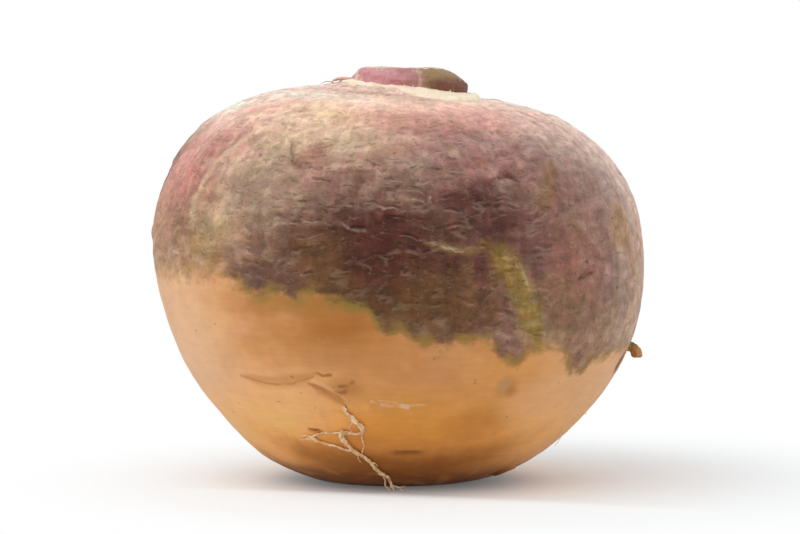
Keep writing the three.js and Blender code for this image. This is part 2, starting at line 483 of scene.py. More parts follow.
# %% The border between top and belly
BORDER = (
    (-180, -8), (-150, -3), (-128, -9), (-110, -1), (-95, 1), (-80, 2), (-60, 3), (-45, 3),
    (-41, 2), (-38, 0), (-37, -1.5), (-33, -2), (-30, -1), (-27, -1), (-24, -3.5), (-21, -1),
    (-17, -2), (-12, -4), (-7, -5), (-5, -8), (-3, -11), (1, -9.5), (4, -12), (9, -13.5),
    (12, -13.5), (14, -12.5), (22.5, -12), (24.5, -16), (28, -17.5), (31, -17.5), (33.5, -15),
    (38, -13.5), (43, -15), (49, -21), (54, -21), (56, -18.5), (70, -16), (88, -17), (97, -12),
    (112, -20), (126, -13), (140, -19), (155, -11), (180, -8),
)
MM_PER_DEGREE = 0.95
CORKY_RISE = 8

border_longitudes, border_latitudes = np.array(BORDER).T
behind = eased((np.abs(longitude - 15) - 75) / 30)
above_border = MM_PER_DEGREE * (latitude - np.interp(longitude, border_longitudes, border_latitudes))
above_border += behind * (3.0 * noise(growth, 13, 21) + 1.5 * noise(growth, 5, 22))
above_border += 0.6 * noise(growth, (4, 4, 2.4), 23)

soft_left = patch(-62, 3, 22, 16)
soft_behind = 0.7 * behind * eased(0.5 + noise(growth, 30, 24))
soft_right = patch(42, -15, 24, 8, 0, 0.8)
border_softness = 1.0 + 2.6 * np.maximum(soft_left, soft_behind) + 0.7 * soft_right
smooth_crown = patch(2, 55, 28, 6, -3, 0.8)
corky = eased(0.5 + above_border / CORKY_RISE) * (1 - 0.6 * smooth_crown)
print("top covers", round(100 * float((above_border > 0).mean())), "% of the skin")

# %% [markdown]
# A wrinkle is not a bump here and there. It is a thin ridge that wanders, because corky skin
# shrinks and folds. Noise that is folded about zero gives such ridges. They lie along the girth in
# front, stand upright at the sides, and curl because the noise is read at places that other noise
# has pushed about.

# %% Hills and wrinkles
def folded(hills):
    """Hills folded about zero, so that each zero line becomes a thin ridge of height 1."""
    return 1 - 2.2 * np.abs(hills)


def warped(points, lump, push, seed):
    """Points pushed about by noise, so that what is drawn at them curls."""
    return points + push * np.stack([noise(points, lump, seed + axis) for axis in range(3)], -1)


curled = warped(growth, 11, 1.6, 301)
on_the_sides = eased((longitude - 34) / 15) * eased((150 - longitude) / 30)
in_the_middle = patch(2, 17, 30, 15, soft=0.9)
up_left = patch(-20, 26, 26, 20, soft=1.0)
swelling = 0.40 * noise(skin, 26, 31) + 0.18 * noise(skin, 11, 32)
lying = folded(noise(curled, (13, 13, 3.6), 33))
standing = folded(noise(curled, (3.6, 3.6, 13), 34))
knobbly = folded(noise(curled, 4.5, 35))
wrinkles = lying + (0.8 * standing - lying) * on_the_sides
roughest = 0.09 + 0.13 * in_the_middle + 0.05 * up_left
wrinkles = roughest * wrinkles + 0.5 * roughest * knobbly + 0.07 * noise(skin, 2.6, 36)
belly_ripples = 0.05 * noise(growth, (9, 9, 2.0), 38) + 0.06 * noise(skin, 6, 39)
relief = swelling + corky * wrinkles + (1 - corky) * belly_ripples
crest = corky * np.clip(wrinkles / (2 * roughest), -1, 1)
print("relief runs from", relief.min().round(2), "to", relief.max().round(2), "mm")

# %% [markdown]
# Some marks have a place of their own: a notch where a slug has fed, ridges where the skin split
# and healed, scratches from the harvest, and creases near the rootlet. Each is a line or an oval
# with a height in millimetres, less than zero where it is cut in.

# %% Marks with a place of their own
RIDGES = (
    # height, half width, places
    (0.55, 1.0, ((-18, 27), (-13, 27.5), (-7, 27))),
    (0.45, 1.0, ((-2, 35.5), (3, 36.5), (8, 35))),
    (0.40, 0.9, ((-27, 14), (-20, 14), (-14, 14.5), (-9, 13))),
    (0.50, 1.1, ((6, 10.5), (11, 9), (16, 8), (21, 9.5))),
    (0.35, 0.9, ((28, 6), (31, 0), (34, -7))),
    (0.45, 0.9, ((-5, 18), (0, 17), (4, 16))),
    (0.45, 0.9, ((-2, 21), (3, 19.5), (8, 19.5))),
    (0.40, 0.9, ((3, 17), (6, 16.5), (10, 17))),
    (0.40, 0.9, ((0, 23), (4, 22), (8, 23))),
    (0.35, 0.8, ((-18, 47.5), (-22, 45.5), (-27, 47), (-28, 50))),
    (0.35, 0.8, ((-17, 44), (-21, 42), (-27, 43))),
    (0.30, 0.9, ((-57, 39), (-50, 40.5), (-44, 41))),
    (0.40, 1.2, ((-24, 27), (-20.5, 28), (-19, 31))),
    (0.35, 0.9, ((26, 23.5), (29.5, 23.5), (33, 22.5))),
    (0.70, 1.8, ((57, -60), (61, -57), (65, -55.5))),
    (0.30, 0.9, ((38, 24), (45, 26.5), (52, 25))),
)
CUTS = (
    (0.75, 1.0, ((-30, 34.5), (-29.5, 32), (-28, 29.5))),
    (0.60, 0.9, ((-28, 29.5), (-25.5, 27.5), (-22.5, 27))),
    (0.40, 0.9, ((-6, 28), (-7.5, 25), (-9.5, 21.5))),
    (0.30, 0.8, ((-3.5, 28), (-5.5, 24.5), (-7, 22))),
    (0.65, 0.9, ((26, 25), (29, 25.5), (31, 24))),
    (0.35, 0.9, ((-26, 12.5), (-19, 12), (-11, 11.5))),
    (0.40, 1.0, ((8, 12), (14, 11), (22, 11.5))),
    (0.55, 0.9, ((46, 1), (48, 2), (50, 2))),
    (0.28, 1.0, ((-45, -23), (-38, -24), (-32, -24), (-26, -23), (-21, -21))),
    (0.60, 0.9, ((-23, -24), (-20, -26), (-17, -28), (-15, -31))),
    (0.40, 1.1, ((-29, -40), (-27, -40.5), (-25, -40))),
    (0.45, 1.1, ((0, -47), (3, -47.5), (8, -46.5))),
    (0.50, 1.0, ((-1, 21.5), (-4, 19.5), (-5, 17))),
    (0.45, 1.0, ((42, 40), (44, 38.5), (47, 38))),
    (0.40, 0.9, ((29, 44), (33, 42), (35, 42.5))),
    (1.00, 1.6, ((80, -17), (79, -20.5), (77, -24))),
)
for height, half_width, places in RIDGES:
    relief += height * line(places, half_width, soft=0.7)
for depth, half_width, places in CUTS:
    relief -= depth * line(places, half_width, soft=0.7)
notch = patch(-24, 30.5, 5.2, 3.8, -25)
relief -= 0.7 * notch
relief += 0.5 * patch(36, 28, 1.6, 1.0)
print(len(RIDGES), "ridges and", len(CUTS), "cuts, deepest place", relief.min().round(2), "mm")

# %% [markdown]
# Between the marks that have a place, a top has dozens of short cracks and small corky knots. No
# one knows them by heart, so they are drawn at random with a fixed seed. Two low swellings follow,
# one on the left shoulder and one low on the right, which the plain solid leaves a little flat.

# %% Small cracks and knots all over
random = np.random.default_rng(7)
SMALL_CRACKS = 90
SMALL_KNOTS = 70
cracks = np.zeros(len(skin))
for _ in range(SMALL_CRACKS):
    east = random.uniform(-180, 180)
    north = random.uniform(-8, 62)
    reach_east = random.uniform(1.5, 4.5) / math.cos(math.radians(north))
    bend = random.uniform(-1.5, 1.5)
    places = ((east - reach_east, north), (east, north + bend), (east + reach_east, north + 0.5 * bend))
    cracks = np.maximum(cracks, random.uniform(0.4, 1.0) * line(places, random.uniform(0.7, 1.0), 0.7))
knots = np.zeros(len(skin))
for _ in range(SMALL_KNOTS):
    east = random.uniform(-180, 180)
    north = random.uniform(-5, 68)
    across = random.uniform(0.9, 2.4)
    knot = patch(east, north, across, across * random.uniform(0.5, 0.9), random.uniform(-30, 30), 0.7)
    knots = np.maximum(knots, random.uniform(0.3, 1.0) * knot)
relief += corky * (0.35 * knots - 0.38 * cracks)
left_shoulder = patch(-76, 52, 22, 11, 10, 0.9)
right_flank = patch(90, -12, 22, 24, 0, 0.9)
relief += 0.7 * left_shoulder + 0.6 * right_flank
print(SMALL_CRACKS, "small cracks and", SMALL_KNOTS, "knots")

# %% [markdown]
# The heights now move every point along its own outward direction. The flat spot stays flat, so that
# the root stands as the solid does, and its middle gets the rough scar where the tap root was cut.

# %% Press the relief into the skin
TAPROOT_SCAR_REACH = 9.0
from_axis = np.hypot(skin[:, 0], skin[:, 1])
on_the_spot = eased((2.2 - skin[:, 2]) / 1.6) * (skin[:, 2] < 20)
relief *= 1 - on_the_spot
scar = eased((TAPROOT_SCAR_REACH - from_axis) / 2.5) * (skin[:, 2] < 20)
skin = skin + outward * relief[:, None]
skin[:, 2] = np.maximum(skin[:, 2], 0)
skin[:, 2] += scar * (0.9 + 0.35 * noise(skin, 2.6, 41))
print("skin spans", skin.min(0).round(1), "to", skin.max(0).round(1), "mm")

# %% [markdown]
# ## Pigment
# The top is never one purple. Red pigment lies in streaks over a green-brown skin, dead cork is
# cream, and where the pigment is thickest it looks like wine. The colours are laid down as a
# painter would lay them, a ground first and then patch on patch, and they are kept at the points
# of the mesh. Each row gives a colour, how much of it covers what lies below, and its oval.

# %% Colours of the top
MAUVE = (0.265, 0.13, 0.108)
VIOLET = (0.17, 0.085, 0.062)
PURPLE = (0.34, 0.165, 0.145)
WINE = (0.088, 0.027, 0.022)
DEEP = (0.115, 0.047, 0.038)
BROWN = (0.20, 0.11, 0.074)
UMBER = (0.14, 0.068, 0.03)
RUSSET = (0.24, 0.115, 0.08)
KNOT_GREY = (0.25, 0.145, 0.105)
GREY_MAUVE = (0.36, 0.225, 0.165)
ROSY_BROWN = (0.42, 0.225, 0.17)
ROSE = (0.53, 0.205, 0.17)
PINK = (0.66, 0.33, 0.285)
HOT_PINK = (0.76, 0.35, 0.31)
SALMON = (0.66, 0.40, 0.31)
PALE_ROSE = (0.84, 0.62, 0.52)
GREY_PINK = (0.54, 0.40, 0.355)
LILAC = (0.56, 0.38, 0.34)
BEIGE = (0.46, 0.32, 0.215)
CORK = (0.64, 0.455, 0.31)
CREAM = (0.66, 0.46, 0.30)
STRAW = (0.62, 0.45, 0.24)
TAN = (0.38, 0.225, 0.125)
OCHRE = (0.45, 0.26, 0.12)
OLIVE = (0.30, 0.20, 0.038)
OLIVE_BROWN = (0.22, 0.12, 0.05)
DARK_OLIVE = (0.135, 0.07, 0.024)
RUST = (0.32, 0.15, 0.065)


def spread(ground, colour, cover):
    """The ground with a colour over it, where cover is 0 for none and 1 for all."""
    return ground + (np.array(colour) - ground) * np.reshape(cover, (-1, 1))


def layered(ground, *layers):
    """The ground with several layers over it, each a pair of colour and cover."""
    for colour, cover in layers:
        ground = spread(ground, colour, cover)
    return ground


def patched(ground, rows, ragged):
    """The ground with an oval of colour from each row of a table laid over it."""
    for colour, cover, east, north, across, tall, tilt, soft in rows:
        ground = spread(ground, colour, cover * patch(east, north, across, tall, tilt, soft, ragged))
    return ground


def streaked(ground, rows, soft, ragged):
    """The ground with a streak of colour from each row of a table laid over it."""
    for colour, cover, half_width, places in rows:
        ground = spread(ground, colour, cover * line(places, half_width, soft, ragged))
    return ground


# %% Ground of the top
top = np.tile(MAUVE, (len(skin), 1))
high = eased((latitude - 30) / 30)
low = eased((16 - latitude) / 12)
top = layered(
    top,
    (WINE, 0.55 * eased(0.45 + 1.1 * noise(growth, (30, 30, 22), 51)) * (1 - high)),
    (TAN, 0.6 * eased(0.2 + 1.3 * noise(growth, (22, 22, 30), 52))),
    (ROSE, 0.6 * eased(0.1 + 1.4 * noise(growth, (16, 16, 30), 53))),
    (LILAC, 0.7 * high),
)
upper = eased((latitude - 22) / 20)
top = spread(top, CORK, 0.6 * eased(1.2 * noise(growth, (18, 18, 14), 54)) * upper)
top = spread(top, OLIVE, 0.6 * eased(1.6 * noise(growth, (9, 9, 26), 55) - 0.25) * (1 - high))
print("ground of the top, mean colour", top.mean(0).round(3))

# %% [markdown]
# On the ground come the patches that make this one root and no other: rose on the left shoulder, a
# pale corky field above the middle, the dark part along the girth and an olive band on the right.
# The pale fields at the left and right edges, near longitude 80, are partly painted light at the
# edges. The widest fields come first and the small ones lie over them.

# %% Patches of the top
TOP_PATCHES = (
    # colour, cover, longitude, latitude, half width, half height, tilt, softness
    # the wide fields
    (MAUVE, 0.95, 28, 14, 50, 34, 0, 0.5),
    # pale greyish pink fields at the right edge: partly painted light at the edge
    (GREY_PINK, 0.85, 78, 30, 22, 20, -30, 0.8),
    (GREY_PINK, 0.75, 82, 4, 16, 30, 0, 0.9),
    (GREY_PINK, 0.5, 66, -2, 9, 14, 0, 0.9),
    (TAN, 0.9, -52, 13, 22, 12, 10, 0.6),
    (TAN, 0.8, -74, 8, 16, 9, 0, 0.6),
    (BEIGE, 0.95, -38, 27, 14, 9, 30, 0.5),
    (BEIGE, 0.8, -34, 17, 13, 8, 0, 0.6),
    (CREAM, 0.6, -50, 15, 5, 5, 0, 0.8),
    (CORK, 0.95, -26, 41, 18, 11, 8, 0.4),
    (CORK, 0.95, -11, 44, 9, 7, 0, 0.5),
    (CORK, 0.8, -14, 33, 9, 5, 0, 0.6),
    # rose, tan and straw on the left
    (ROSE, 0.95, -64, 33, 15, 8, 40, 0.5),
    (ROSE, 0.95, -68, 24, 14, 10, 20, 0.5),
    (ROSE, 0.6, -76, 16, 12, 7, 0, 0.7),
    (PINK, 0.6, -66, 37, 10, 3, 45, 0.7),
    (PINK, 0.5, -72, 28, 8, 5, 30, 0.7),
    (CREAM, 0.6, -45, 31, 3, 6, -30, 0.8),
    (TAN, 0.5, -50, 19, 4, 7, -20, 0.8),
    (CREAM, 0.7, -48, 42, 7, 3, 25, 0.7),
    (STRAW, 0.5, -49, 8, 3, 3, 0, 0.8),
    (OCHRE, 0.5, -57, 8, 4, 4, 10, 0.7),
    (RUST, 0.5, -60, 12, 3.5, 2, 20, 0.7),
    (RUST, 0.4, -57, 5, 2, 2, 0, 0.7),
    # the shoulder, from left to right
    # pale rose at the left edge: partly painted light at the edge
    (PALE_ROSE, 0.9, -78, 46, 17, 5, 20, 0.7),
    (PALE_ROSE, 0.8, -42, 57, 16, 4, 4, 0.7),
    (PALE_ROSE, 0.5, -54, 41, 12, 4, 15, 0.8),
    (CREAM, 0.6, -24, 49, 18, 4, 0, 0.8),
    (PINK, 0.85, -55, 45, 7, 2, 15, 0.6),
    (PINK, 0.6, -48, 51, 6, 1.5, 12, 0.6),
    (SALMON, 0.9, 2, 53, 14, 5, -4, 0.6),
    (PALE_ROSE, 0.6, 42, 42, 17, 6, -20, 0.8),
    (SALMON, 0.7, 16, 47, 9, 3, -6, 0.7),
    (PINK, 0.9, 24, 50, 9, 3, -8, 0.6),
    (HOT_PINK, 0.9, 34, 48, 6, 2, -10, 0.7),
    (PALE_ROSE, 0.85, 48, 55, 16, 4, -12, 0.7),
    (GREY_PINK, 0.8, 56, 43, 17, 5, -20, 0.7),
    (HOT_PINK, 0.7, 68, 46, 4, 1.2, -14, 0.6),
    # pale rose at the right edge: partly painted light at the edge
    (PALE_ROSE, 0.6, 76, 36, 12, 10, -30, 0.9),
    # in the middle, above the dark part
    (STRAW, 0.45, -21, 46, 5, 2.5, 0, 0.7),
    (ROSY_BROWN, 0.9, 4, 42, 10, 4, -5, 0.6),
    (PALE_ROSE, 0.35, 1, 36, 5, 1.0, 0, 0.7),
    (OCHRE, 0.55, 0, 32.5, 4, 1.6, 0, 0.7),
    (ROSY_BROWN, 0.7, -4, 29, 8, 3, 0, 0.6),
    (ROSY_BROWN, 0.9, -22, 29, 4, 5, -25, 0.5),
    (GREY_MAUVE, 0.85, -29, 27, 6, 2.5, 5, 0.6),
    (GREY_MAUVE, 0.6, -30, 21, 12, 4, 0, 0.8),
    (BROWN, 0.55, -28, 14, 9, 3, 0, 0.8),
    (RUSSET, 0.7, -16, 23, 5, 1.3, 0, 0.6),
    (PURPLE, 0.9, 22, 33, 13, 11, -10, 0.5),
    (SALMON, 0.8, 5, 35.5, 5, 2, 0, 0.6),
    (ROSY_BROWN, 0.4, -6, 35, 4, 3, 0, 0.8),
    (PINK, 0.5, 31, 43, 6, 3, 0, 0.8),
    (GREY_PINK, 0.3, 44, 31, 8, 6, 0, 0.8),
    (GREY_MAUVE, 0.6, 15, 32, 3, 1.3, -20, 0.6),
    (KNOT_GREY, 0.9, 4, 26, 9, 4, 0, 0.6),
    (KNOT_GREY, 0.9, 3, 20, 9, 4, 0, 0.6),
    (BROWN, 0.7, 13, 25, 4, 3, 0, 0.8),
    (BROWN, 0.85, -15, 18, 10, 5, 0, 0.6),
    (BROWN, 0.6, -8, 24, 6, 3, 0, 0.7),
    # the dark part
    (BROWN, 0.9, -27, 10, 13, 6, 0, 0.6),
    (DEEP, 0.7, -20, 8, 7, 3.5, 0, 0.7),
    (DEEP, 0.8, -13, 12, 10, 5, 0, 0.6),
    (DEEP, 0.9, 0, 11, 17, 9, 0, 0.5),
    (WINE, 0.85, -5, 13, 9, 4, 0, 0.6),
    (WINE, 0.8, 1, 6, 14, 4, 0, 0.6),
    (DEEP, 0.85, 20, 20, 9, 3.5, 0, 0.6),
    (WINE, 0.8, 19, 20, 5, 1.5, -5, 0.6),
    (WINE, 0.7, 22, 15, 7, 2.5, 0, 0.6),
    (DEEP, 0.8, 18, 8, 12, 6, 0, 0.6),
    (WINE, 0.6, 16, 3, 8, 5, 0, 0.7),
    (DEEP, 0.7, 27, 18, 6, 5, 0, 0.7),
    (DARK_OLIVE, 0.6, 12, 14, 5, 2.5, 0, 0.7),
    (UMBER, 0.9, -14, 1, 13, 5, -10, 0.6),
    (UMBER, 0.9, 5, -3, 16, 7, -10, 0.6),
    (OLIVE_BROWN, 0.6, -22, 2, 7, 3, 0, 0.7),
    (VIOLET, 0.95, -31, 2, 10, 3.5, 0, 0.5),
    (VIOLET, 0.6, -36, 0, 3, 2, 0, 0.6),
    (OLIVE_BROWN, 0.75, 1, -9, 11, 3, -15, 0.7),
    (UMBER, 0.7, 17, -8, 8, 5, 0, 0.7),
    (MAUVE, 0.5, 26, -13, 7, 4, 0, 0.6),
    (BROWN, 0.5, 27, -15, 6, 4, 0, 0.7),
    (STRAW, 0.55, 37, -12, 7, 3, -10, 0.8),
    # the right side
    (PURPLE, 0.6, 36, 24, 8, 8, -20, 0.7),
    (WINE, 0.35, 40, 8, 12, 7, 0, 0.9),
    (ROSE, 0.4, 47, 4, 7, 8, 0, 0.9),
    (GREY_MAUVE, 0.3, 56, 18, 9, 14, 0, 0.9),
    (TAN, 0.35, 46, 12, 6, 7, 0, 0.8),
    (OCHRE, 0.85, 63, 12, 5, 5.5, -4, 0.6),
    (PINK, 0.85, 81, 11, 6, 6, -4, 0.7),
    (TAN, 0.5, 56, -9, 11, 6, 0, 0.8),
    (CREAM, 0.5, 74, -13, 13, 8, 0, 0.9),
    (OCHRE, 0.5, 69, 4, 6, 12, 0, 0.9),
    # pale rose at the right edge: partly painted light at the edge
    (PALE_ROSE, 0.5, 79, 20, 7, 16, 0, 0.9),
    (TAN, 0.6, 50, -16, 14, 3.5, 0, 0.7),
    # around the back
    (MAUVE, 0.85, 107, 16, 15, 26, 0, 0.7),
    (PURPLE, 0.5, 100, 34, 12, 8, 0, 0.8),
    (WINE, 0.5, 130, 8, 20, 9, 0, 0.8),
    (ROSE, 0.5, 124, 42, 16, 7, -10, 0.8),
    (BEIGE, 0.6, 152, 34, 15, 8, 10, 0.7),
    (PURPLE, 0.6, 178, 20, 20, 14, 0, 0.8),
    (DEEP, 0.5, -164, 8, 18, 8, 0, 0.8),
    (CORK, 0.5, -150, 42, 14, 8, 0, 0.7),
    (MAUVE, 0.7, -116, 20, 16, 20, 0, 0.8),
    (OLIVE_BROWN, 0.5, -138, 2, 14, 6, 0, 0.8),
)
TOP_RAGGED = 0.4
top = patched(top, TOP_PATCHES, TOP_RAGGED)
print(len(TOP_PATCHES), "patches on the top")

# %% Pale shoulder, partly painted light from above
# The shoulder is paler skin and partly painted light from above, fainter where it turns away from the eye
on_the_shoulder = eased((latitude - 34 - 10 * np.cos(np.radians(longitude))) / 26)
below_the_collar = patch(8, 52, 26, 8, -4, 0.7)
out_of_sight = eased((np.abs(longitude) - 90 + 12 * noise(growth, 16, 92)) / 22)
pale_and_lit_shoulder = on_the_shoulder * (1 - 0.8 * below_the_collar) * (1 - 0.55 * out_of_sight)
top = spread(top, PALE_ROSE, 0.6 * pale_and_lit_shoulder)
top = spread(top, GREY_MAUVE, 0.7 * patch(-20, 66, 10, 2.5, -4, 0.7))
print("bleached:", round(100 * float((pale_and_lit_shoulder > 0.5).mean())), "% of the skin")

# %% [markdown]
# Streaks follow: the olive band where a leaf has shaded the skin, pale scratches, and dark lines
# in the cuts beside the ridges, whose darkness is partly painted shade. Each is a stroke through a
# few places that thins out at its ends.

# %% Streaks of the top
TOP_STREAKS = (
    # colour, cover, half width, places
    (OLIVE, 0.9, 3.2, ((20, 10), (24, 8), (27, 3), (30, -3), (33, -9), (36, -14))),
    (STRAW, 0.25, 0.6, ((28, 6), (31, 0), (34, -7))),
    (OLIVE, 0.6, 1.0, ((6, 10), (11, 9), (16, 8), (22, 9))),
    (CORK, 0.2, 0.5, ((6, 10.5), (11, 9), (16, 8.5))),
    (OLIVE_BROWN, 0.85, 2.2, ((44, 29), (41, 24), (38, 20), (35, 16))),
    (OCHRE, 0.15, 0.9, ((42, 25), (38, 20), (36, 17))),
    (CREAM, 0.5, 1.2, ((-41, 34), (-44, 29), (-46, 25))),
    (SALMON, 0.6, 1.4, ((-50, 36), (-54, 30), (-57, 25))),
    (CORK, 0.4, 0.9, ((-50, 26), (-54, 21), (-56, 15))),
    (ROSY_BROWN, 0.6, 1.0, ((-8, 28), (-2, 27), (3, 28))),
    (CORK, 0.5, 0.7, ((-18, 27), (-13, 27.5), (-7, 27))),
    (CORK, 0.15, 0.5, ((-27, 14), (-20, 14), (-14, 14.5), (-9, 13))),
    (CORK, 0.3, 0.6, ((-2, 21), (3, 19.5), (8, 19.5))),
    (BROWN, 0.6, 0.9, ((-30, 34), (-29, 32), (-28, 29))),
    (RUSSET, 0.6, 0.8, ((-28, 29), (-25, 27.5), (-22, 27))),
    (WINE, 0.7, 0.8, ((26, 25), (29, 25.5), (31, 24))),
    (WINE, 0.6, 0.8, ((46, 1), (48, 2), (50, 2))),
    # the crevice under the stump: a cut, painted dark as shade
    (DARK_OLIVE, 0.9, 2.2, ((80, -17), (79, -20.5), (77, -24))),
)
STREAK_SOFT, STREAK_RAGGED = 0.6, 0.35
top = streaked(top, TOP_STREAKS, STREAK_SOFT, STREAK_RAGGED)
darkest = patch(2, 6, 30, 14, soft=0.6)
pale = 1 - 0.8 * darkest
# painted shade: the small cracks are made darker
top = spread(top, WINE, 0.3 * cracks)
top = spread(top, CORK, 0.2 * knots * pale)
print(len(TOP_STREAKS), "streaks on the top")

# %% [markdown]
# Between the marks the colour is never still. Fine strands rise with the growth and blotches lie across
# them. The crests of the wrinkles are painted lighter and their hollows darker: painted light and
# shade. All of this is noise, read at the same curled places as the wrinkles, so that colour and
# relief run the same way.

# %% Fine streaks
rising = noise(curled, (2.6, 2.6, 15), 57)
fine_rising = noise(curled, (1.8, 1.8, 7), 58)
crossing = noise(curled, (12, 12, 2.2), 59)
strands = noise(curled, (2.2, 2.2, 14), 71)
beside_the_rose = patch(-52, 26, 11, 15, soft=0.8)
at_the_right_edge = patch(72, 4, 16, 28, soft=0.8)
top = layered(
    top,
    (CREAM, 0.55 * beside_the_rose * eased(2.2 * strands - 0.2)),
    (ROSE, 0.6 * beside_the_rose * eased(-2.2 * strands - 0.1)),
    (TAN, 0.5 * at_the_right_edge * eased(1.8 * strands - 0.2)),
)
low_front = low * (1 - soft_left)
green_strands = eased(1.5 * rising + 0.1) * (1 - 0.6 * on_the_sides)
top = spread(top, OLIVE_BROWN, 0.45 * low_front * green_strands)
red_strands = eased(-1.5 * rising) * (1 - 0.5 * on_the_sides)
top = spread(top, WINE, 0.35 * low_front * red_strands)
print("fine strands, mean colour now", top.mean(0).round(3))

# %% Blotches, and painted light and shade on the wrinkles
blotches = noise(warped(growth, 5, 2, 311), (4.2, 4.2, 2.8), 72)
small_blotches = noise(warped(growth, 3, 1.2, 321), (2.2, 2.2, 1.6), 73)
plain = pale * (1 - 0.7 * patch(-66, 29, 15, 14, 30, 0.7))
top = layered(
    top,
    (PALE_ROSE, 0.12 * eased(2.2 * blotches - 0.3) * plain * (1 - soft_left)),
    (RUSSET, 0.25 * eased(-2.2 * blotches - 0.3) * plain),
    (RUST, 0.55 * eased(-2.0 * blotches) * soft_left * low),
    (SALMON, 0.60 * eased(1.8 * blotches) * soft_left * low),
    (GREY_PINK, 0.12 * eased(2.4 * small_blotches - 0.5) * plain),
    (RUSSET, 0.16 * eased(-2.4 * small_blotches - 0.5) * plain),
    (CORK, 0.18 * eased(1.8 * fine_rising - 0.3) * (1 - low) * pale),
    (ROSE, 0.20 * eased(-1.8 * fine_rising - 0.3) * (1 - 0.6 * low)),
    (CORK, 0.16 * eased(1.6 * crossing - 0.3) * (1 - on_the_sides) * pale),
)
# painted light and shade: crests of the wrinkles lighter, hollows darker
top *= (1 + 0.20 * crest + 0.08 * noise(skin, 2.2, 60))[:, None]
print("blotches and crests, mean colour now", top.mean(0).round(3))

# %% [markdown]
# A painter ends with glazes: thin coats over everything that lies below, to warm or to darken a
# whole region without hiding what is there. They come after the fine pattern for that reason.

# %% Glazes over the whole top
DEEP_SALMON = (0.62, 0.29, 0.235)
PALE_CREAM = (0.84, 0.64, 0.47)
NOTCH_RED = (0.36, 0.17, 0.12)

GLAZES = (
    # rows as in TOP_PATCHES
    (UMBER, 0.65, -4, -1, 22, 8, -8, 0.8),
    (UMBER, 0.4, -20, 1, 6, 4, 0, 0.8),
    (WINE, 0.5, -4, 4, 9, 6, 0, 0.8),
    (UMBER, 0.4, 5, -3, 8, 4, 0, 0.8),
    (DEEP, 0.5, 21, 10, 7, 4, 0, 0.8),
    (WINE, 0.4, -6, 11, 14, 6, 0, 0.8),
    (WINE, 0.3, 24, 18, 10, 5, 0, 0.8),
    (BROWN, 0.35, 0, 24, 8, 4, 0, 0.8),
    (VIOLET, 0.7, -31, 2, 10, 3, 0, 0.4),
    (OCHRE, 0.5, -75, 12, 12, 9, 0, 0.8),
    (BROWN, 0.35, -68, 12, 10, 6, 0, 0.8),
    (OLIVE, 0.35, -50, 10, 6, 5, 0, 0.8),
    (BEIGE, 0.3, -50, 15, 6, 3, 0, 0.8),
    (GREY_PINK, 0.35, 26, 36, 6, 3, 0, 0.8),
    (DEEP, 0.3, 12, 15, 5, 3, 0, 0.8),
    (SALMON, 0.3, 6, 50, 12, 5, 0, 0.8),
    (UMBER, 0.7, -20, 10, 7, 4, 0, 0.8),
    (CORK, 0.35, -56, 44, 10, 5, 0, 0.8),
    (WINE, 0.2, 9, 23, 10, 4, 0, 0.8),
    (DEEP_SALMON, 0.4, 24, 49, 24, 8, -6, 0.8),
    (PALE_CREAM, 0.5, -14, 56, 15, 5, 0, 0.8),
    (DEEP_SALMON, 0.32, 2, 43.5, 11, 4, 0, 0.8),
    (STRAW, 0.25, -42, 13.5, 5, 4, 0, 0.8),
    (NOTCH_RED, 0.6, -23.5, 30.5, 2.6, 4.2, -25, 0.5),
    (PINK, 0.35, -50, 32, 8, 9, 20, 0.8),
    # pale rose at the left edge: partly painted light at the edge
    (PALE_ROSE, 0.4, -76, 41, 10, 6, 0, 0.8),
    (CORK, 0.3, -36, 28, 6, 4, 0, 0.8),
    (GREY_PINK, 0.25, 5, 30, 6, 3, 0, 0.8),
    (ROSE, 0.15, 13, 24.5, 6, 4, 0, 0.8),
    (MAUVE, 0.3, 52, 19, 6, 6, 0, 0.8),
    (MAUVE, 0.25, 39, 14, 6, 5, 0, 0.8),
    (OCHRE, 0.35, 78, 2, 9, 12, 0, 0.8),
    (WINE, 0.3, -3, 3, 7, 6, 0, 0.8),
    (UMBER, 0.3, 5, -4, 6, 3, 0, 0.8),
    (MAUVE, 0.6, 150, 58, 18, 8, 0, 0.8),
    (ROSY_BROWN, 0.6, -150, 57, 18, 8, 0, 0.8),
    (GREY_MAUVE, 0.6, 180, 66, 22, 6, 0, 0.8),
    (OLIVE, 0.25, 41, -4, 10, 6, 0, 0.8),
)
LATE_STREAKS = (
    # colour, cover, half width, places
    (PALE_CREAM, 0.45, 0.9, ((-41, 40), (-47, 34), (-52, 27), (-55, 20))),
    (STRAW, 0.45, 0.8, ((-44, 36), (-50, 29), (-54, 22), (-56, 15))),
    (PALE_CREAM, 0.40, 0.6, ((-38, 37), (-43, 31), (-46, 25))),
    (PALE_ROSE, 0.40, 0.6, ((-58, 38), (-63, 33), (-67, 27))),
)
LATE_SOFT, LATE_RAGGED = 0.9, 0.8
top = patched(top, GLAZES, TOP_RAGGED)
top = streaked(top, LATE_STREAKS, LATE_SOFT, LATE_RAGGED)
print(len(GLAZES), "glazes and", len(LATE_STREAKS), "late streaks")

# %% Painted light and darker patches of the top
BRIGHTEST = 0.92
DARKEST = 0.006
CREST_HIGHLIGHT = (0.58, 0.43, 0.34)
GLOSS_VEIL = 0.014

# painted light: the shoulder above the girth and the two sides are made lighter, less where they turn away
# from the eye
above_the_girth = eased((latitude - 33) / 12) * (1 - 0.7 * patch(10, 43, 16, 5, 0, 0.8))
at_the_sides = eased((np.abs(longitude) - 62) / 15)
painted_light = (0.28 * above_the_girth + 0.16 * at_the_sides) * (1 - out_of_sight)
darker = 0.12 * patch(30, 21, 28, 7, 0, 0.9) + 0.12 * patch(-32, 22, 8, 6, 0, 0.9)
top *= (1 + painted_light - darker)[:, None]
top = np.minimum(top, BRIGHTEST)
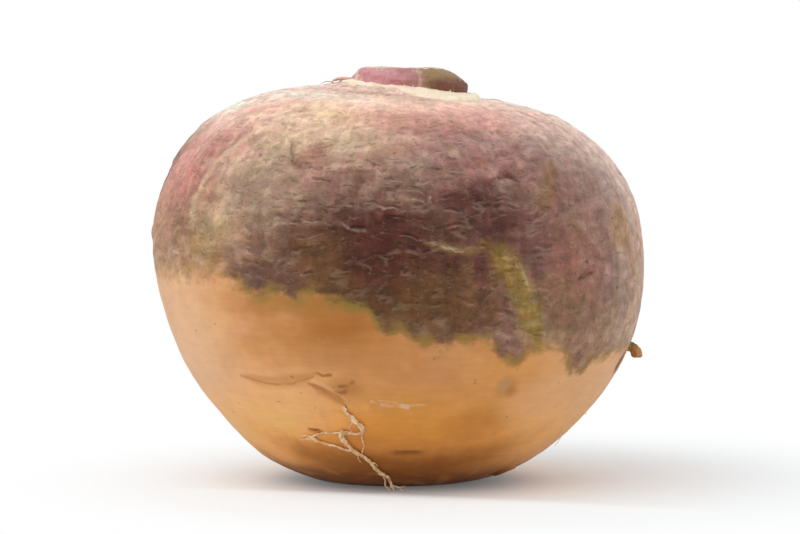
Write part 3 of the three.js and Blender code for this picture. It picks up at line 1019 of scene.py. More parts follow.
# painted highlight along the crests of the wrinkles
top = spread(top, CREST_HIGHLIGHT, 0.16 * eased(1.8 * crest - 0.75) * pale)
top = np.maximum(top - GLOSS_VEIL, DARKEST)
print("top colours run from", top.min(0).round(3), "to", top.max(0).round(3))

# %% [markdown]
# ## The belly
# The belly grew under the ground, where no pigment forms, so the yellow flesh shines through a thin
# skin. It is more golden lower down, toffee brown along the border, and darker brown underneath. It
# is paler towards its left and right sides, partly as painted light at the edges. It is laid on in
# the same three steps: a ground, patches and streaks.

# %% Ground of the belly
ORANGE = (0.70, 0.325, 0.125)
PEACH = (0.90, 0.54, 0.30)
BURNT = (0.44, 0.17, 0.045)
GOLD = (0.78, 0.36, 0.095)
TOFFEE = (0.55, 0.235, 0.072)
CHESTNUT = (0.24, 0.078, 0.016)
GLOW = (0.97, 0.53, 0.23)
ROSY = (0.78, 0.37, 0.21)

belly = np.tile(ORANGE, (len(skin), 1))
belly = layered(
    belly,
    # paler towards the sides: partly painted light at the edges
    (PEACH, 0.75 * eased((np.abs(longitude) - 28) / 40)),
    (TOFFEE, 0.6 * eased(1.2 * noise(growth, (20, 20, 12), 61))),
    (GOLD, 0.6 * eased(1.2 * noise(growth, (16, 16, 9), 62) - 0.1)),
    (CHESTNUT, 0.9 * eased((-51 - latitude) / 8)),
)
clouds = noise(warped(growth, 9, 3, 331), (8, 8, 5), 64)
wisps = noise(warped(growth, 6, 1.0, 341), (6, 6, 1.5), 65)
belly = layered(
    belly,
    (ROSY, 0.40 * eased(1.4 * clouds) * eased((latitude + 34) / 16)),
    (GLOW, 0.28 * eased(-1.4 * clouds)),
    (TOFFEE, 0.18 * eased(1.8 * wisps - 0.2)),
    (PEACH, 0.16 * eased(-1.8 * wisps - 0.2)),
)
print("ground of the belly, mean colour", belly.mean(0).round(3))

# %% Patches and streaks of the belly
OLIVE_GOLD = (0.36, 0.17, 0.04)
SCAR_BROWN = (0.30, 0.13, 0.035)
SCAR_GREY = (0.53, 0.32, 0.155)

BELLY_PATCHES = (
    # rows as in TOP_PATCHES
    (TOFFEE, 0.8, -14, -14, 15, 8, 0, 0.7),
    (BURNT, 0.9, -14, -7.5, 9, 5, 0, 0.6),
    (ORANGE, 0.7, 8, -24, 16, 6, 0, 0.8),
    (GOLD, 0.85, 6, -36, 24, 9, 0, 0.7),
    (PEACH, 0.85, -40, -34, 15, 9, 0, 0.7),
    # GLOW patches on the two sides of the belly, here and below: partly painted light
    (GLOW, 0.9, -42, -33, 20, 11, 15, 0.8),
    (GLOW, 0.8, 56, -28, 16, 14, -20, 0.8),
    (OLIVE_GOLD, 0.8, -20, -4, 8, 2.5, 0, 0.7),
    (OLIVE_GOLD, 0.6, -31, -4, 5, 2.5, 0, 0.7),
    (PEACH, 0.8, -64, -18, 14, 16, 0, 0.8),
    (PEACH, 0.7, 54, -27, 16, 12, 0, 0.7),
    (GOLD, 0.6, 31, -20, 10, 5, 0, 0.7),
    (BURNT, 0.4, 24, -36, 6, 5, 20, 0.8),
    (TOFFEE, 0.55, 29.8, -25.2, 3.0, 3.0, 0, 0.4),
    (SCAR_GREY, 0.75, 28.6, -24.2, 1.7, 1.7, 0, 0.5),
    (BURNT, 0.5, 31, -26, 1.2, 1.6, 20, 0.6),
    (BURNT, 0.5, -11, -8, 5, 2.5, 0, 0.8),
    (TOFFEE, 0.4, 5, -18, 8, 4, 0, 0.8),
    (TOFFEE, 0.5, -38, -4.5, 8, 3, 0, 0.8),
    (GLOW, 0.5, -56, -39, 11, 8, 0, 0.8),
    (TOFFEE, 0.4, -17, -4.5, 8, 3, 0, 0.8),
    (ORANGE, 0.35, 50, -24, 16, 8, 0, 0.8),
    (GOLD, 0.5, -33, -48, 8, 4, 0, 0.8),
    (GOLD, 0.3, 31, -42, 8, 5, 0, 0.8),
    (BURNT, 0.5, -15, -25, 4, 2.5, 10, 0.8),
    (SCAR_BROWN, 0.85, -27, -39.5, 1.8, 0.9, 0, 0.6),
    (GOLD, 0.7, -27, -43, 3.0, 1.6, 0, 0.7),
    (CHESTNUT, 0.85, 3, -47.2, 3.6, 1.1, 0, 0.5),
    (GOLD, 0.4, 4.5, -50.5, 4, 2, 0, 0.7),
    (BURNT, 0.3, 30, -53, 14, 5, 0, 0.7),
    (TOFFEE, 0.45, -6, -45, 16, 5, 0, 0.8),
    (GLOW, 0.5, 50, -40, 8, 6, 0, 0.8),
    (CHESTNUT, 0.75, -2, -53.5, 25, 5, 0, 0.7),
    (CHESTNUT, 0.7, 61, -58, 4, 2, 20, 0.6),
)
BELLY_STREAKS = (
    # colour, cover, half width, places
    (TOFFEE, 0.5, 1.6, ((-45, -23), (-38, -24), (-32, -24), (-26, -23), (-21, -21))),
    (TOFFEE, 0.6, 1.4, ((-23, -24), (-20, -26), (-17, -28), (-15, -31))),
    (PEACH, 0.6, 0.8, ((-22, -23), (-18, -25.5), (-15, -28))),
    # the crevice under the stump again, painted dark as shade
    (DARK_OLIVE, 0.95, 2.4, ((80, -17), (79, -20.5), (77, -24))),
)
BELLY_RAGGED = 0.35
belly = patched(belly, BELLY_PATCHES, BELLY_RAGGED)
belly = streaked(belly, BELLY_STREAKS, STREAK_SOFT, STREAK_RAGGED)
print(len(BELLY_PATCHES), "patches and", len(BELLY_STREAKS), "streaks on the belly")

# %% [markdown]
# Three things are left: the tan scar of the tap root underneath; the white card below, which
# reflects pale light into the belly and would wash out its gold, so the lower belly is made yellower
# to allow for that; and a patch low on the left, which is made lighter as painted light.

# %% Scar and lower belly
TAPROOT_TAN = (0.50, 0.31, 0.16)
YELLOWER = (1.05, 0.98, 0.72)
BELLY_BRIGHTEST = 0.98
BELLY_DARKEST = 0.004

belly = spread(belly, TAPROOT_TAN, 0.9 * scar * (0.6 + 0.4 * noise(skin, 3, 63)))
lower_down = eased((-22 - latitude) / 22)
belly *= 1 + (np.array(YELLOWER) - 1) * lower_down[:, None]
# painted light on the lower left of the belly
belly *= 1 + 0.14 * patch(-44, -43, 22, 8, 0, 0.8)[:, None]
belly = np.maximum(np.minimum(belly, BELLY_BRIGHTEST) - GLOSS_VEIL, BELLY_DARKEST)
print("belly colours run from", belly.min(0).round(3), "to", belly.max(0).round(3))

# %% [markdown]
# ## One skin, two finishes
# The mesh now carries both colours at each point, and a small map: how far the point lies above
# the border, how soft the border is there, and how corky the skin is. The shader does what is finer
# than the mesh. It breaks up the border, draws the olive fringe where the two colours meet, and adds
# streaks, fissures and grain as colour, as bump and as gloss.

# %% The root as a Blender mesh
def mesh_object(name, points, faces):
    """A smooth-shaded object from points in millimetres."""
    mesh = bpy.data.meshes.new(name)
    mesh.from_pydata((np.asarray(points) * MM).tolist(), [], [list(face) for face in faces])
    mesh.shade_smooth()
    made = bpy.data.objects.new(name, mesh)
    bpy.context.scene.collection.objects.link(made)
    return made


def keep_colour(piece, name, colours):
    """Keeps a colour for each point of a piece."""
    layer = piece.data.color_attributes.new(name, "FLOAT_COLOR", "POINT")
    full = np.concatenate([colours, np.ones((len(colours), 1))], axis=1)
    layer.data.foreach_set("color", full.ravel())


def keep_vector(piece, name, vectors):
    """Keeps three numbers for each point of a piece."""
    layer = piece.data.attributes.new(name, "FLOAT_VECTOR", "POINT")
    layer.data.foreach_set("vector", np.ascontiguousarray(vectors, dtype=np.float32).ravel())


FRONT_REACH = 120
front_longitude = longitude * (np.abs(longitude) < FRONT_REACH)
root = mesh_object("root", skin, root_quads.tolist())
keep_colour(root, "top_colour", top)
keep_colour(root, "belly_colour", belly)
keep_vector(root, "skin_map", np.stack([above_border, border_softness, corky], -1))
keep_vector(root, "relief_map", np.stack([on_the_sides, roughest, front_longitude], -1))
keep_vector(root, "growth", growth)
sheet_map = root.data.uv_layers.new(name="OFBake")
sheet_map.data.foreach_set("uv", root_sheet.ravel())
print("root:", len(root.data.polygons), "quads")

# %% [markdown]
# ### The net of the skin
# The net first fetches what the mesh keeps. `spot` is a place in metres, for grain that is alike
# everywhere, and `grown` is the unrolled place in millimetres, for what lies or stands with the
# growth. Two plain noises serve the whole net: a mottle of a few millimetres and a fine grain.

# %% What the skin reads
root_skin = bpy.data.materials.new("root_skin")
net = Net(root_skin)
top_colour = net.kept("top_colour", "Color")
belly_colour = net.kept("belly_colour", "Color")
above, softness, cork = net.parts(net.kept("skin_map"))
grown = net.kept("growth")
spot = net.node("TexCoord").outputs["Object"]
sideways, rough, east = net.parts(net.kept("relief_map"))
mottle = net.noise(spot, 230.0, 4.0, 0.6)
grain = net.noise(spot, 1100.0, 3.0, 0.6)
print("the mesh keeps", [layer.name for layer in root.data.attributes if layer.name[0] != "."])

# %% [markdown]
# Corky skin splits into short fissures, and the lower lip of each one lifts. In colour the lip is a
# pale line under the dark one, a painted highlight, and the fissure's dark is painted shade. A
# fissure is drawn where a noise crosses its middle level, and its lip is the same line read a little
# lower. They lie in front and stand at the sides.

# %% Fissures and their lips
LIP_BELOW = (0.0, 0.0, 0.6)


def fissures(place, x, y, z, thin):
    """Thin lines of height 1 along the middle level of some noise."""
    hills = net.noise(net.stretched(place, x, y, z), 1.0, 3.5, 0.55)
    away_from_middle = net.math("ABSOLUTE", net.math("SUBTRACT", hills, 0.5))
    return net.climb(away_from_middle, 0.0, thin, 1.0, 0.0)


curl = net.moved(grown, net.stretched(net.pushes(grown, 0.13, 1.5), 5.0, 5.0, 3.5))
lip_curl = net.moved(curl, LIP_BELOW)
here_and_there = net.climb(net.noise(grown, 0.28, 2.0, 0.5), 0.46, 0.60)
rather = net.scaled(rough, 3.2, 0.15)
here_and_there = net.times(here_and_there, rather)
upright = net.times(sideways, 0.85)
flat = net.math("SUBTRACT", 1.0, upright)
lying_fissures = net.times(fissures(curl, 0.07, 0.07, 0.27, 0.07), flat)
# lips: painted highlights just below the fissures, also raised in the bump
lips_and_highlights = net.times(fissures(lip_curl, 0.07, 0.07, 0.27, 0.06), flat)
standing_fissures = net.times(fissures(curl, 0.25, 0.25, 0.09, 0.05), upright)
fissure = net.math("MAXIMUM", lying_fissures, standing_fissures)
fissure = net.times(fissure, here_and_there)
lip_and_highlight = net.times(lips_and_highlights, here_and_there)
print("nodes so far:", len(net.tree.nodes))

# %% [markdown]
# Between the fissures the cork breaks up into a fine net of cracks, with small pores through which
# the root breathes. Both come from cells: the cracks are the borders of the cells, and a pore is
# the middle of one cell in five. Each crack has a pale lip just below it, a painted highlight as on
# the fissures.

# %% Net of fine cracks, and pores
LITTLE_BELOW = (0.0, 0.0, 0.35)


def cracked(place, across, tall, thin):
    """The borders of irregular cells, as lines of height 1."""
    place = net.stretched(place, 1 / across, 1 / across, 1 / tall)
    cells = net.node("TexVoronoi", {"Vector": place, "Scale": 1.0}, feature="DISTANCE_TO_EDGE")
    return net.climb(cells.outputs["Distance"], 0.0, thin, 1.0, 0.0)


def cells_of(place, x, y, z):
    """Irregular cells: each has a middle and three random numbers of its own."""
    return net.node("TexVoronoi", {"Vector": net.stretched(place, x, y, z), "Scale": 1.0})


wobbly = net.moved(grown, net.stretched(net.pushes(grown, 0.45, 2.0), 4.5, 4.5, 3.5))
wobbly_lip = net.moved(wobbly, LITTLE_BELOW)
broken = net.climb(net.noise(grown, 0.5, 3.0, 0.6), 0.50, 0.62)
crack_net = net.times(cracked(wobbly, 4.6, 2.6, 0.09), broken)
# a painted highlight just below each crack
crack_lip_highlight = net.times(cracked(wobbly_lip, 4.6, 2.6, 0.09), broken)
pores = cells_of(wobbly, 0.42, 0.42, 0.55)
some_pores, flake, _ = net.parts(pores.outputs["Color"])
some_pores = net.climb(some_pores, 0.78, 0.86)
pore = net.climb(pores.outputs["Distance"], 0.08, 0.20, 1.0, 0.0)
pore = net.times(pore, some_pores)
for mark, strength in ((crack_net, 0.45), (pore, 0.8)):
    fissure = net.math("MAXIMUM", fissure, net.times(mark, strength))
lip_and_highlight = net.math("MAXIMUM", lip_and_highlight, net.times(crack_lip_highlight, 0.5))
fissure = net.times(fissure, cork)
lip_and_highlight = net.times(lip_and_highlight, cork)
folds = net.noise(net.stretched(curl, 0.22, 0.22, 0.55), 1.0, 2.5, 0.55)
print("nodes so far:", len(net.tree.nodes))

# %% [markdown]
# Some lines are finer than the mesh and still have a place that everyone would notice: the crease
# and the scars beside the rootlet, a silvery scratch, and dark lines in the cuts and under the
# ridges, whose darkness is partly painted shade. The net draws them itself, as strokes between
# places in longitude and latitude. Only the front has them, so places behind the axis are pushed
# far away.

# %% Crisp lines with a place of their own
DARK_LINES = (
    # half width, places
    (0.35, ((-30, 34), (-29.5, 32), (-28, 29.5), (-25, 27.5))),
    (0.30, ((26, 25), (29, 25.5), (31, 24))),
    (0.35, ((46, 1), (48, 2), (50, 2))),
    (0.30, ((42, 40), (44, 38.5), (47, 38))),
    (0.30, ((-6, 28), (-7.5, 25), (-10, 21))),
    (0.30, ((-1, 21.5), (-4, 19), (-5, 17))),
    (0.28, ((1, 22), (4, 21), (8, 22))),
    (0.28, ((-2, 16.5), (2, 16), (6, 15))),
    (0.25, ((-26, 12.5), (-19, 12.5), (-11, 11.5))),
)
CREASES = (
    (0.30, ((-45, -22.8), (-41, -23.8), (-37, -24.5), (-33, -24.7), (-29, -24.2), (-25, -23.2),
            (-22, -22))),
    (0.65, ((-22, -24.5), (-20, -26), (-16.5, -29.5))),
)
SCARS = (
    (0.50, ((-15, -24.6), (-13, -24.4), (-11.5, -23.4))),
    (0.65, ((-16.5, -26.4), (-14.8, -26.6), (-13.5, -25.9))),
    (0.40, ((-20.5, -20.8), (-19, -21.6), (-17, -21.4))),
    (0.50, ((-29, -39), (-27.5, -39.6), (-26, -39.3))),
)
SCRATCHES = (
    (0.45, ((-7, -29), (-4, -30), (-1, -30.3), (3, -30.8))),
    (0.30, ((-1, -29.6), (3, -30.1), (8, -30))),
    (0.20, ((-5, -28.6), (0, -29.2))),
)
PALE_LINES = (
    (0.25, ((-29, 13.5), (-21, 14.5), (-13, 14), (-9, 12.5))),
    (0.20, ((-24, 17), (-17, 17.5))),
    (0.25, ((-6, 18.5), (-1, 17.5), (4, 17))),
    (0.25, ((-3, 21), (3, 19.5), (8, 20))),
    (0.22, ((0, 24), (5, 23.5), (9, 24.5))),
    (0.22, ((5, 10.5), (9, 9.5), (15, 8))),
    (0.22, ((27, 7), (30, 2), (32, -3), (35, -9))),
)
ALL_LINES = (DARK_LINES, CREASES, SCARS, SCRATCHES, PALE_LINES)
print("lines with a place:", [len(lines) for lines in ALL_LINES])

# %% Places on the globe, steady and shaken
DEGREES_PER_MM = 1 / (GIRTH * math.radians(1))
_, to_the_back_of_globe, north = net.parts(grown)
north = net.times(north, DEGREES_PER_MM)
far_behind = net.math("MAXIMUM", to_the_back_of_globe, 0.0)
on_globe = net.node("CombineXYZ", {0: east, 1: north, 2: far_behind}).outputs[0]
shaking = net.pushes(grown, 0.30, 2.0)
shaking = net.node("VectorMath", {0: shaking, 1: (0.5, 0.5, 0.5)}, operation="SUBTRACT").outputs[0]
shaking = net.stretched(shaking, 1.5, 3.0, 0.0)
calm_globe = net.moved(on_globe, net.stretched(shaking, 0.4, 0.3, 0.0))
shaken_globe = net.moved(on_globe, shaking)
print("a degree is", round(1 / DEGREES_PER_MM, 2), "mm at the girth")

# %% Draw the lines
NEVER_NEAR = 9.0


def far_from(place, start, end):
    """How far a place lies from the line between two others."""
    run = end - start
    from_start = net.node("VectorMath", {0: place, 1: start}, operation="SUBTRACT").outputs[0]
    along = {0: from_start, 1: run / run.length_squared}
    along = net.node("VectorMath", along, operation="DOT_PRODUCT").outputs["Value"]
    along = net.math("MAXIMUM", net.math("MINIMUM", along, 1.0), 0.0)
    on_line = net.node("VectorMath", {0: run, "Scale": along}, operation="SCALE").outputs[0]
    ends = {0: from_start, 1: on_line}
    return net.node("VectorMath", ends, operation="DISTANCE").outputs["Value"]


def strokes(lines, place, wear):
    """Thin lines of height 1 through places given by longitude and latitude, worn in parts."""
    drawn = 0.0
    for half_width, stops in lines:
        nearest = NEVER_NEAR
        for start, end in zip(stops, stops[1:]):
            far = far_from(place, Vector((*start, 0)), Vector((*end, 0)))
            nearest = net.math("MINIMUM", nearest, far)
        line_here = net.climb(nearest, 0.3 * half_width, 1.6 * half_width, 1.0, 0.0)
        drawn = net.math("MAXIMUM", drawn, line_here)
    return net.times(drawn, wear)


uneven = net.climb(mottle, 0.47, 0.60)
dark_stroke = strokes(DARK_LINES, shaken_globe, uneven)
pale_stroke = strokes(PALE_LINES, shaken_globe, uneven)
worn = net.climb(mottle, 0.40, 0.58, 0.1, 1.0)
crease = strokes(CREASES, calm_globe, worn)
scar_mark = strokes(SCARS, calm_globe, worn)
scratch = strokes(SCRATCHES, calm_globe, worn)
print("nodes so far:", len(net.tree.nodes))

# %% [markdown]
# ### Colour of the skin
# The painted colour is right for a patch, and too even for a millimetre. So a tone near 1 is made
# from all the fine patterns in turn, and the painted colour is multiplied by it: lighter and darker
# over the folds as their painted light and shade, darker in a fissure as painted shade, lighter on
# a lip as a painted highlight, and mottled between.

# %% Colour of the top
LIP_HIGHLIGHT = (0.50, 0.38, 0.26)
GREEN_TINT = (0.985, 1.01, 0.96)
RED_TINT = (1.02, 0.975, 1.02)
flecks = net.noise(net.stretched(curl, 0.22, 0.22, 0.50), 1.0, 4.0, 0.62)
tint = net.mix(net.climb(flecks, 0.44, 0.58), GREEN_TINT, RED_TINT)
top_tinted = net.mix(1.0, top_colour, tint, "MULTIPLY")
rising_streaks = net.noise(net.stretched(curl, 0.75, 0.75, 0.09), 1.0, 3.0, 0.6)
streakiness = net.climb(softness, 1.0, 3.0, 0.36, 0.04)
tone = net.math("SUBTRACT", rising_streaks, 0.5)
tone = net.scaled(tone, streakiness, 1.0)
TONES = (
    # pattern, strength, tone where the pattern is 0
    (mottle, 0.7, 0.65),
    (grain, 0.4, 0.8),
    # painted light and shade of the folds
    (folds, 0.7, 0.65),
    (flake, 0.26, 0.87),
    # painted shade in the fissures and a painted highlight on their lips
    (fissure, -0.44, 1.02),
    (lip_and_highlight, 0.42, 1.0),
)
for pattern, strength, base in TONES:
    tone = net.times(tone, net.scaled(pattern, strength, base))
top_toned = net.toned(top_tinted, tone)
# painted highlight along the lips
top_toned = net.mix(net.times(lip_and_highlight, 0.22), top_toned, LIP_HIGHLIGHT)
print("top toned by", 1 + len(TONES), "patterns")

# %% [markdown]
# The belly has no cork. It shows faint lines around its girth, and small brown dots where tiny
# roots once came out.

# %% Colour of the belly
LENTICEL = (0.30, 0.13, 0.04)
belly_lines = net.noise(net.stretched(grown, 0.10, 0.10, 0.9), 1.0, 3.0, 0.55)
tone = net.scaled(belly_lines, 0.16, 0.92)
tone = net.times(tone, net.scaled(mottle, 0.24, 0.88))
belly_toned = net.toned(belly_colour, tone)
dots = cells_of(wobbly, 0.17, 0.17, 0.30)
some_dots = net.climb(net.parts(dots.outputs["Color"])[0], 0.30, 0.45)
dot = net.climb(dots.outputs["Distance"], 0.03, 0.12, 0.55, 0.0)
dot = net.times(dot, some_dots)
belly_toned = net.mix(dot, belly_toned, LENTICEL)
print("nodes so far:", len(net.tree.nodes))

# %% [markdown]
# ### The border and its olive fringe
# The mesh knows how far each point lies above the border, in millimetres. Noise is added to that
# height before it is cut at zero, so the border breaks into small tongues, more so where it is
# soft. Around zero lies the olive fringe, where green skin meets the yellow.

# %% Border and fringe
FRINGE = (0.30, 0.185, 0.038)
rough_edge = net.noise(net.stretched(grown, 0.36, 0.36, 0.56), 1.0, 4.0, 0.62)
rough_edge = net.math("SUBTRACT", rough_edge, 0.5)
roughness_there = net.scaled(softness, 2.6, 1.2)
height = net.scaled(rough_edge, roughness_there, above)
is_top = net.climb(height, net.times(softness, -1.0), softness)
colour = net.mix(is_top, belly_toned, top_toned)
fringe_width = net.scaled(softness, 0.5, 2.2)
fringe = net.climb(net.math("ABSOLUTE", height), 0.0, fringe_width, 0.85, 0.0)
fringe = net.times(fringe, net.climb(mottle, 0.35, 0.55))
fringe = net.times(fringe, net.climb(softness, 1.0, 3.0, 1.0, 0.35))
colour = net.mix(fringe, colour, FRINGE)
print("nodes so far:", len(net.tree.nodes))

# %% Colours of the crisp lines
LINE_COLOURS = (
    # line, cover, colour
    # dark lines in the cuts and under the ridges: partly painted shade
    (dark_stroke, 0.5, (0.13, 0.055, 0.025)),
    (pale_stroke, 0.32, (0.66, 0.50, 0.38)),
    (crease, 0.6, (0.52, 0.20, 0.05)),
    (scar_mark, 0.7, (0.28, 0.10, 0.025)),
    (scratch, 0.6, (0.82, 0.68, 0.56)),
)
for mark, cover, line_colour in LINE_COLOURS:
    colour = net.mix(net.times(mark, cover), colour, line_colour)
print(len(LINE_COLOURS), "kinds of line coloured")

# %% [markdown]
# ### Relief and gloss of the skin
# The same patterns drive a bump, with heights in millimetres, so that each dark fissure is also
# cut in and each pale lip stands up. The belly is smoother and glossier than the cork. A little
# sheen stands for the fine dust and down that catch the light at the edge.

# %% Relief, gloss and finish of the skin
SHINE = 0.2
SHEEN = 0.06
SHEEN_ROUGHNESS = 0.45
SHEEN_TINT = (1.0, 0.86, 0.78, 1)

low_relief = net.times(folds, net.scaled(rough, 3.4, 0.15))
for pattern, millimetres in ((mottle, 0.20), (grain, 0.05), (fissure, -0.28), (lip_and_highlight, 0.20)):
    low_relief = net.scaled(pattern, millimetres, low_relief)
low_relief = net.times(low_relief, cork)
fine_relief = net.times(grain, 0.015)
fine_relief = net.scaled(belly_lines, 0.05, fine_relief)
fine_relief = net.scaled(dot, -0.05, fine_relief)
relief_height = net.math("ADD", low_relief, fine_relief)
gloss = net.scaled(cork, 0.07, 0.34)
gloss = net.scaled(mottle, 0.22, gloss)

shader = net.skin(colour, gloss, relief_height, shine=SHINE)
shader.inputs["Sheen Weight"].default_value = SHEEN
shader.inputs["Sheen Roughness"].default_value = SHEEN_ROUGHNESS
shader.inputs["Sheen Tint"].default_value = SHEEN_TINT
net.finish("Material", shader.outputs[0])
root.data.materials.append(root_skin)
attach(root, "root")
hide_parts("swollen_root")
print("skin of the root:", len(net.tree.nodes), "nodes")

# %% [markdown]
# ## Rings: the neck, the collar and the side roots
# Everything else on the root is round in section: a stub of neck, a torn collar around it, dry side
# roots. Each one can be built as a row of rings, with faces between one ring and the next. A row
# that is capped at both ends gives a tube, and a row whose last ring joins the first gives a hoop.

# %% Faces between rings
def ring_faces(rows, sides, looped=False):
    """Faces between rows of points in rings, with a cap at each end unless the rows loop."""
    index = np.arange(rows * sides).reshape(rows, sides)
    near = index if looped else index[:-1]
    far = np.roll(index, -1, 0) if looped else index[1:]
    quads = np.stack([near, np.roll(near, -1, 1), np.roll(far, -1, 1), far], -1).reshape(-1, 4)
    caps = [] if looped else [index[0, ::-1].tolist(), index[-1].tolist()]
    return quads.tolist() + caps


print("a tube of 3 rings of 8 points has", len(ring_faces(3, 8)), "faces")

# %% Smooth paths
def through(places, step):
    """A smooth path through places, a row every step, with all the columns that the places have."""
    places = np.asarray(places, float)
    lengths = np.linalg.norm(np.diff(places[:, :3], axis=0), axis=1)
    passed = np.concatenate([[0], np.cumsum(lengths)])
    slopes = np.gradient(places, passed, axis=0)
    at = np.linspace(0, passed[-1], max(3, round(passed[-1] / step)))
    cell = np.clip(np.searchsorted(passed, at, "right") - 1, 0, len(passed) - 2)
    width = (passed[cell + 1] - passed[cell])[:, None]
    t = (at - passed[cell])[:, None] / width
    start = (2 * t ** 3 - 3 * t ** 2 + 1) * places[cell] + (t ** 3 - 2 * t ** 2 + t) * width * slopes[cell]
    end = (3 * t ** 2 - 2 * t ** 3) * places[cell + 1] + (t ** 3 - t ** 2) * width * slopes[cell + 1]
    return start + end


print("a path 10 mm long in steps of 1 mm has", len(through(((0, 0, 0), (10, 0, 0)), 1)), "rows")

# %% Height of the crown
FAR_ABOVE = 200
skin_tree = BVHTree.FromPolygons(skin.tolist(), root_quads.tolist())


def skin_height(x, y):
    """Height of the crown's skin above a place, in millimetres."""
    return skin_tree.ray_cast(Vector((x, y, FAR_ABOVE)), Vector((0, 0, -1)))[0].z


print("skin under the neck is at", round(skin_height(0, 0), 1), "mm")

# %% [markdown]
# ### The cut neck
# The leaves of a rutabaga grow from a short neck, and the harvester slices it off. What is left is a
# low stub: pink on one side, olive and brown on the other, with a thin pale rim around the slice. It
# is wider and steeper on the right. Four outlines describe it, and the rest is blended from them.

# %% Shape of the neck
NECK_OUTLINES = (
    # right, back, left and front, each from the foot to the rim as reach and height
    ((17.0, 93.8), (17.1, 95.4), (16.9, 96.8), (15.6, 98.4), (13.2, 99.9), (10.2, 100.9)),
    ((12.6, 96.2), (12.7, 97.2), (12.9, 98.2), (12.5, 99.3), (11.6, 100.3), (10.4, 101.0)),
    ((12.0, 97.6), (11.4, 98.5), (10.5, 99.3), (9.8, 99.9), (9.0, 100.6), (8.2, 101.1)),
    ((12.6, 95.8), (12.7, 97.0), (13.0, 98.0), (12.7, 99.1), (11.7, 100.2), (10.3, 101.0)),
)
NECK_SIDES = 288
SIDE_ROWS = 44
TOP_ROWS = 44
CUT_MIDDLE = (0.8, 0.0, 100.5)
FOOT_SINKS = 1.4

turn = np.linspace(0, 2 * math.pi, NECK_SIDES, endpoint=False)
outlines = np.array(NECK_OUTLINES)
quarter = turn / (math.pi / 2)
share = (0.5 - 0.5 * np.cos(math.pi * (quarter % 1)))[:, None, None]
outline_before = outlines[quarter.astype(int) % 4]
outline_after = outlines[(quarter.astype(int) + 1) % 4]
around_neck = outline_before + (outline_after - outline_before) * share
along = np.linspace(0, outlines.shape[1] - 1, SIDE_ROWS)
knots_of_outline = np.arange(outlines.shape[1])
neck_reach = np.array([np.interp(along, knots_of_outline, one[:, 0]) for one in around_neck]).T
neck_height = np.array([np.interp(along, knots_of_outline, one[:, 1]) for one in around_neck]).T
neck_height[0] -= FOOT_SINKS
print("neck reaches", neck_reach[0].max(), "mm at its foot and", neck_reach[-1].max(), "at its rim")

# %% Faces and relief of the neck
rim_x = neck_reach[-1] * np.cos(turn)
rim_y = neck_reach[-1] * np.sin(turn)
inwards = np.linspace(0, 0.99, TOP_ROWS + 1)[1:, None]
top_x = rim_x + (CUT_MIDDLE[0] - rim_x) * inwards
top_y = rim_y + (CUT_MIDDLE[1] - rim_y) * inwards
top_z = neck_height[-1] + (CUT_MIDDLE[2] - neck_height[-1]) * eased(1.3 * inwards)
neck_points = np.concatenate([
    np.stack([neck_reach * np.cos(turn), neck_reach * np.sin(turn), neck_height], -1),
    np.stack([top_x, top_y, top_z], -1),
])
up_the_side = np.repeat(np.concatenate([along / along[-1], 1 + inwards[:, 0]]), NECK_SIDES)
neck_points = neck_points.reshape(-1, 3)
neck_quads = ring_faces(SIDE_ROWS + TOP_ROWS, NECK_SIDES)
neck_out = normals_of(neck_points, np.array(neck_quads[:-2]))
on_the_side = eased((1.02 - up_the_side) / 0.1)
RING_STRETCH = 9
flat_zero = 0 * up_the_side
rings_of_wood = noise(np.stack([RING_STRETCH * up_the_side, flat_zero, flat_zero], -1), 0.6, 71)
neck_relief = 0.28 * noise(neck_points, (3.2, 3.2, 1.6), 72) + 0.12 * noise(neck_points, 1.2, 73)
neck_relief += 0.10 * on_the_side * folded(noise(neck_points, (1.0, 1.0, 4.0), 74))
neck_relief += 0.12 * (1 - on_the_side) * rings_of_wood
neck_points = neck_points + neck_out * neck_relief[:, None]
print("neck:", len(neck_quads), "faces, top at", round(neck_points[:, 2].max(), 1), "mm")

# %% [markdown]
# The colours of the neck go from left to right, because each side was covered by another leaf: pink
# and rose, then a thin pale line, then olive, and brown at the foot on the right.

# %% Colours of the neck's side
NECK_PINK = (0.64, 0.31, 0.33)
NECK_ROSE = (0.58, 0.22, 0.24)
NECK_MAUVE = (0.42, 0.20, 0.19)
NECK_OLIVE = (0.34, 0.22, 0.10)
NECK_BROWN = (0.20, 0.075, 0.052)
RIM_CREAM = (0.86, 0.74, 0.52)

neck_x = neck_points[:, 0]
neck_z = neck_points[:, 2]
streak = noise(neck_points, (1.6, 1.6, 7), 75)
neck_colour = np.tile(NECK_PINK, (len(neck_points), 1))
neck_colour = layered(
    neck_colour,
    (NECK_ROSE, eased(0.35 + 1.4 * noise(neck_points, (4, 4, 2), 76))),
    (NECK_MAUVE, 0.8 * eased((neck_x + 2) / 7)),
    (NECK_OLIVE, eased((neck_x + 1.6 * streak - 4.2) / 3.6)),
)
pale_streak = eased(1 - np.abs(neck_x - 5.2 + 1.2 * streak) / 0.6)
neck_colour = spread(neck_colour, RIM_CREAM, 0.30 * pale_streak * on_the_side)
low_right = eased((neck_x - 5) / 5) * eased((99.4 - neck_z) / 2.4)
neck_colour = spread(neck_colour, NECK_BROWN, np.clip(low_right + 0.5 * streak * low_right, 0, 1))
neck_colour = spread(neck_colour, RIM_CREAM, 0.55 * eased(2.2 * streak - 0.7) * on_the_side)
pale_corner = eased((2.2 - np.abs(neck_x + 10.4 + 0.5 * (neck_z - 99))) / 1.4)
neck_colour = spread(neck_colour, RIM_CREAM, 0.6 * pale_corner * eased(0.5 + 1.5 * streak))
print("side of the neck, mean colour", neck_colour.mean(0).round(3))

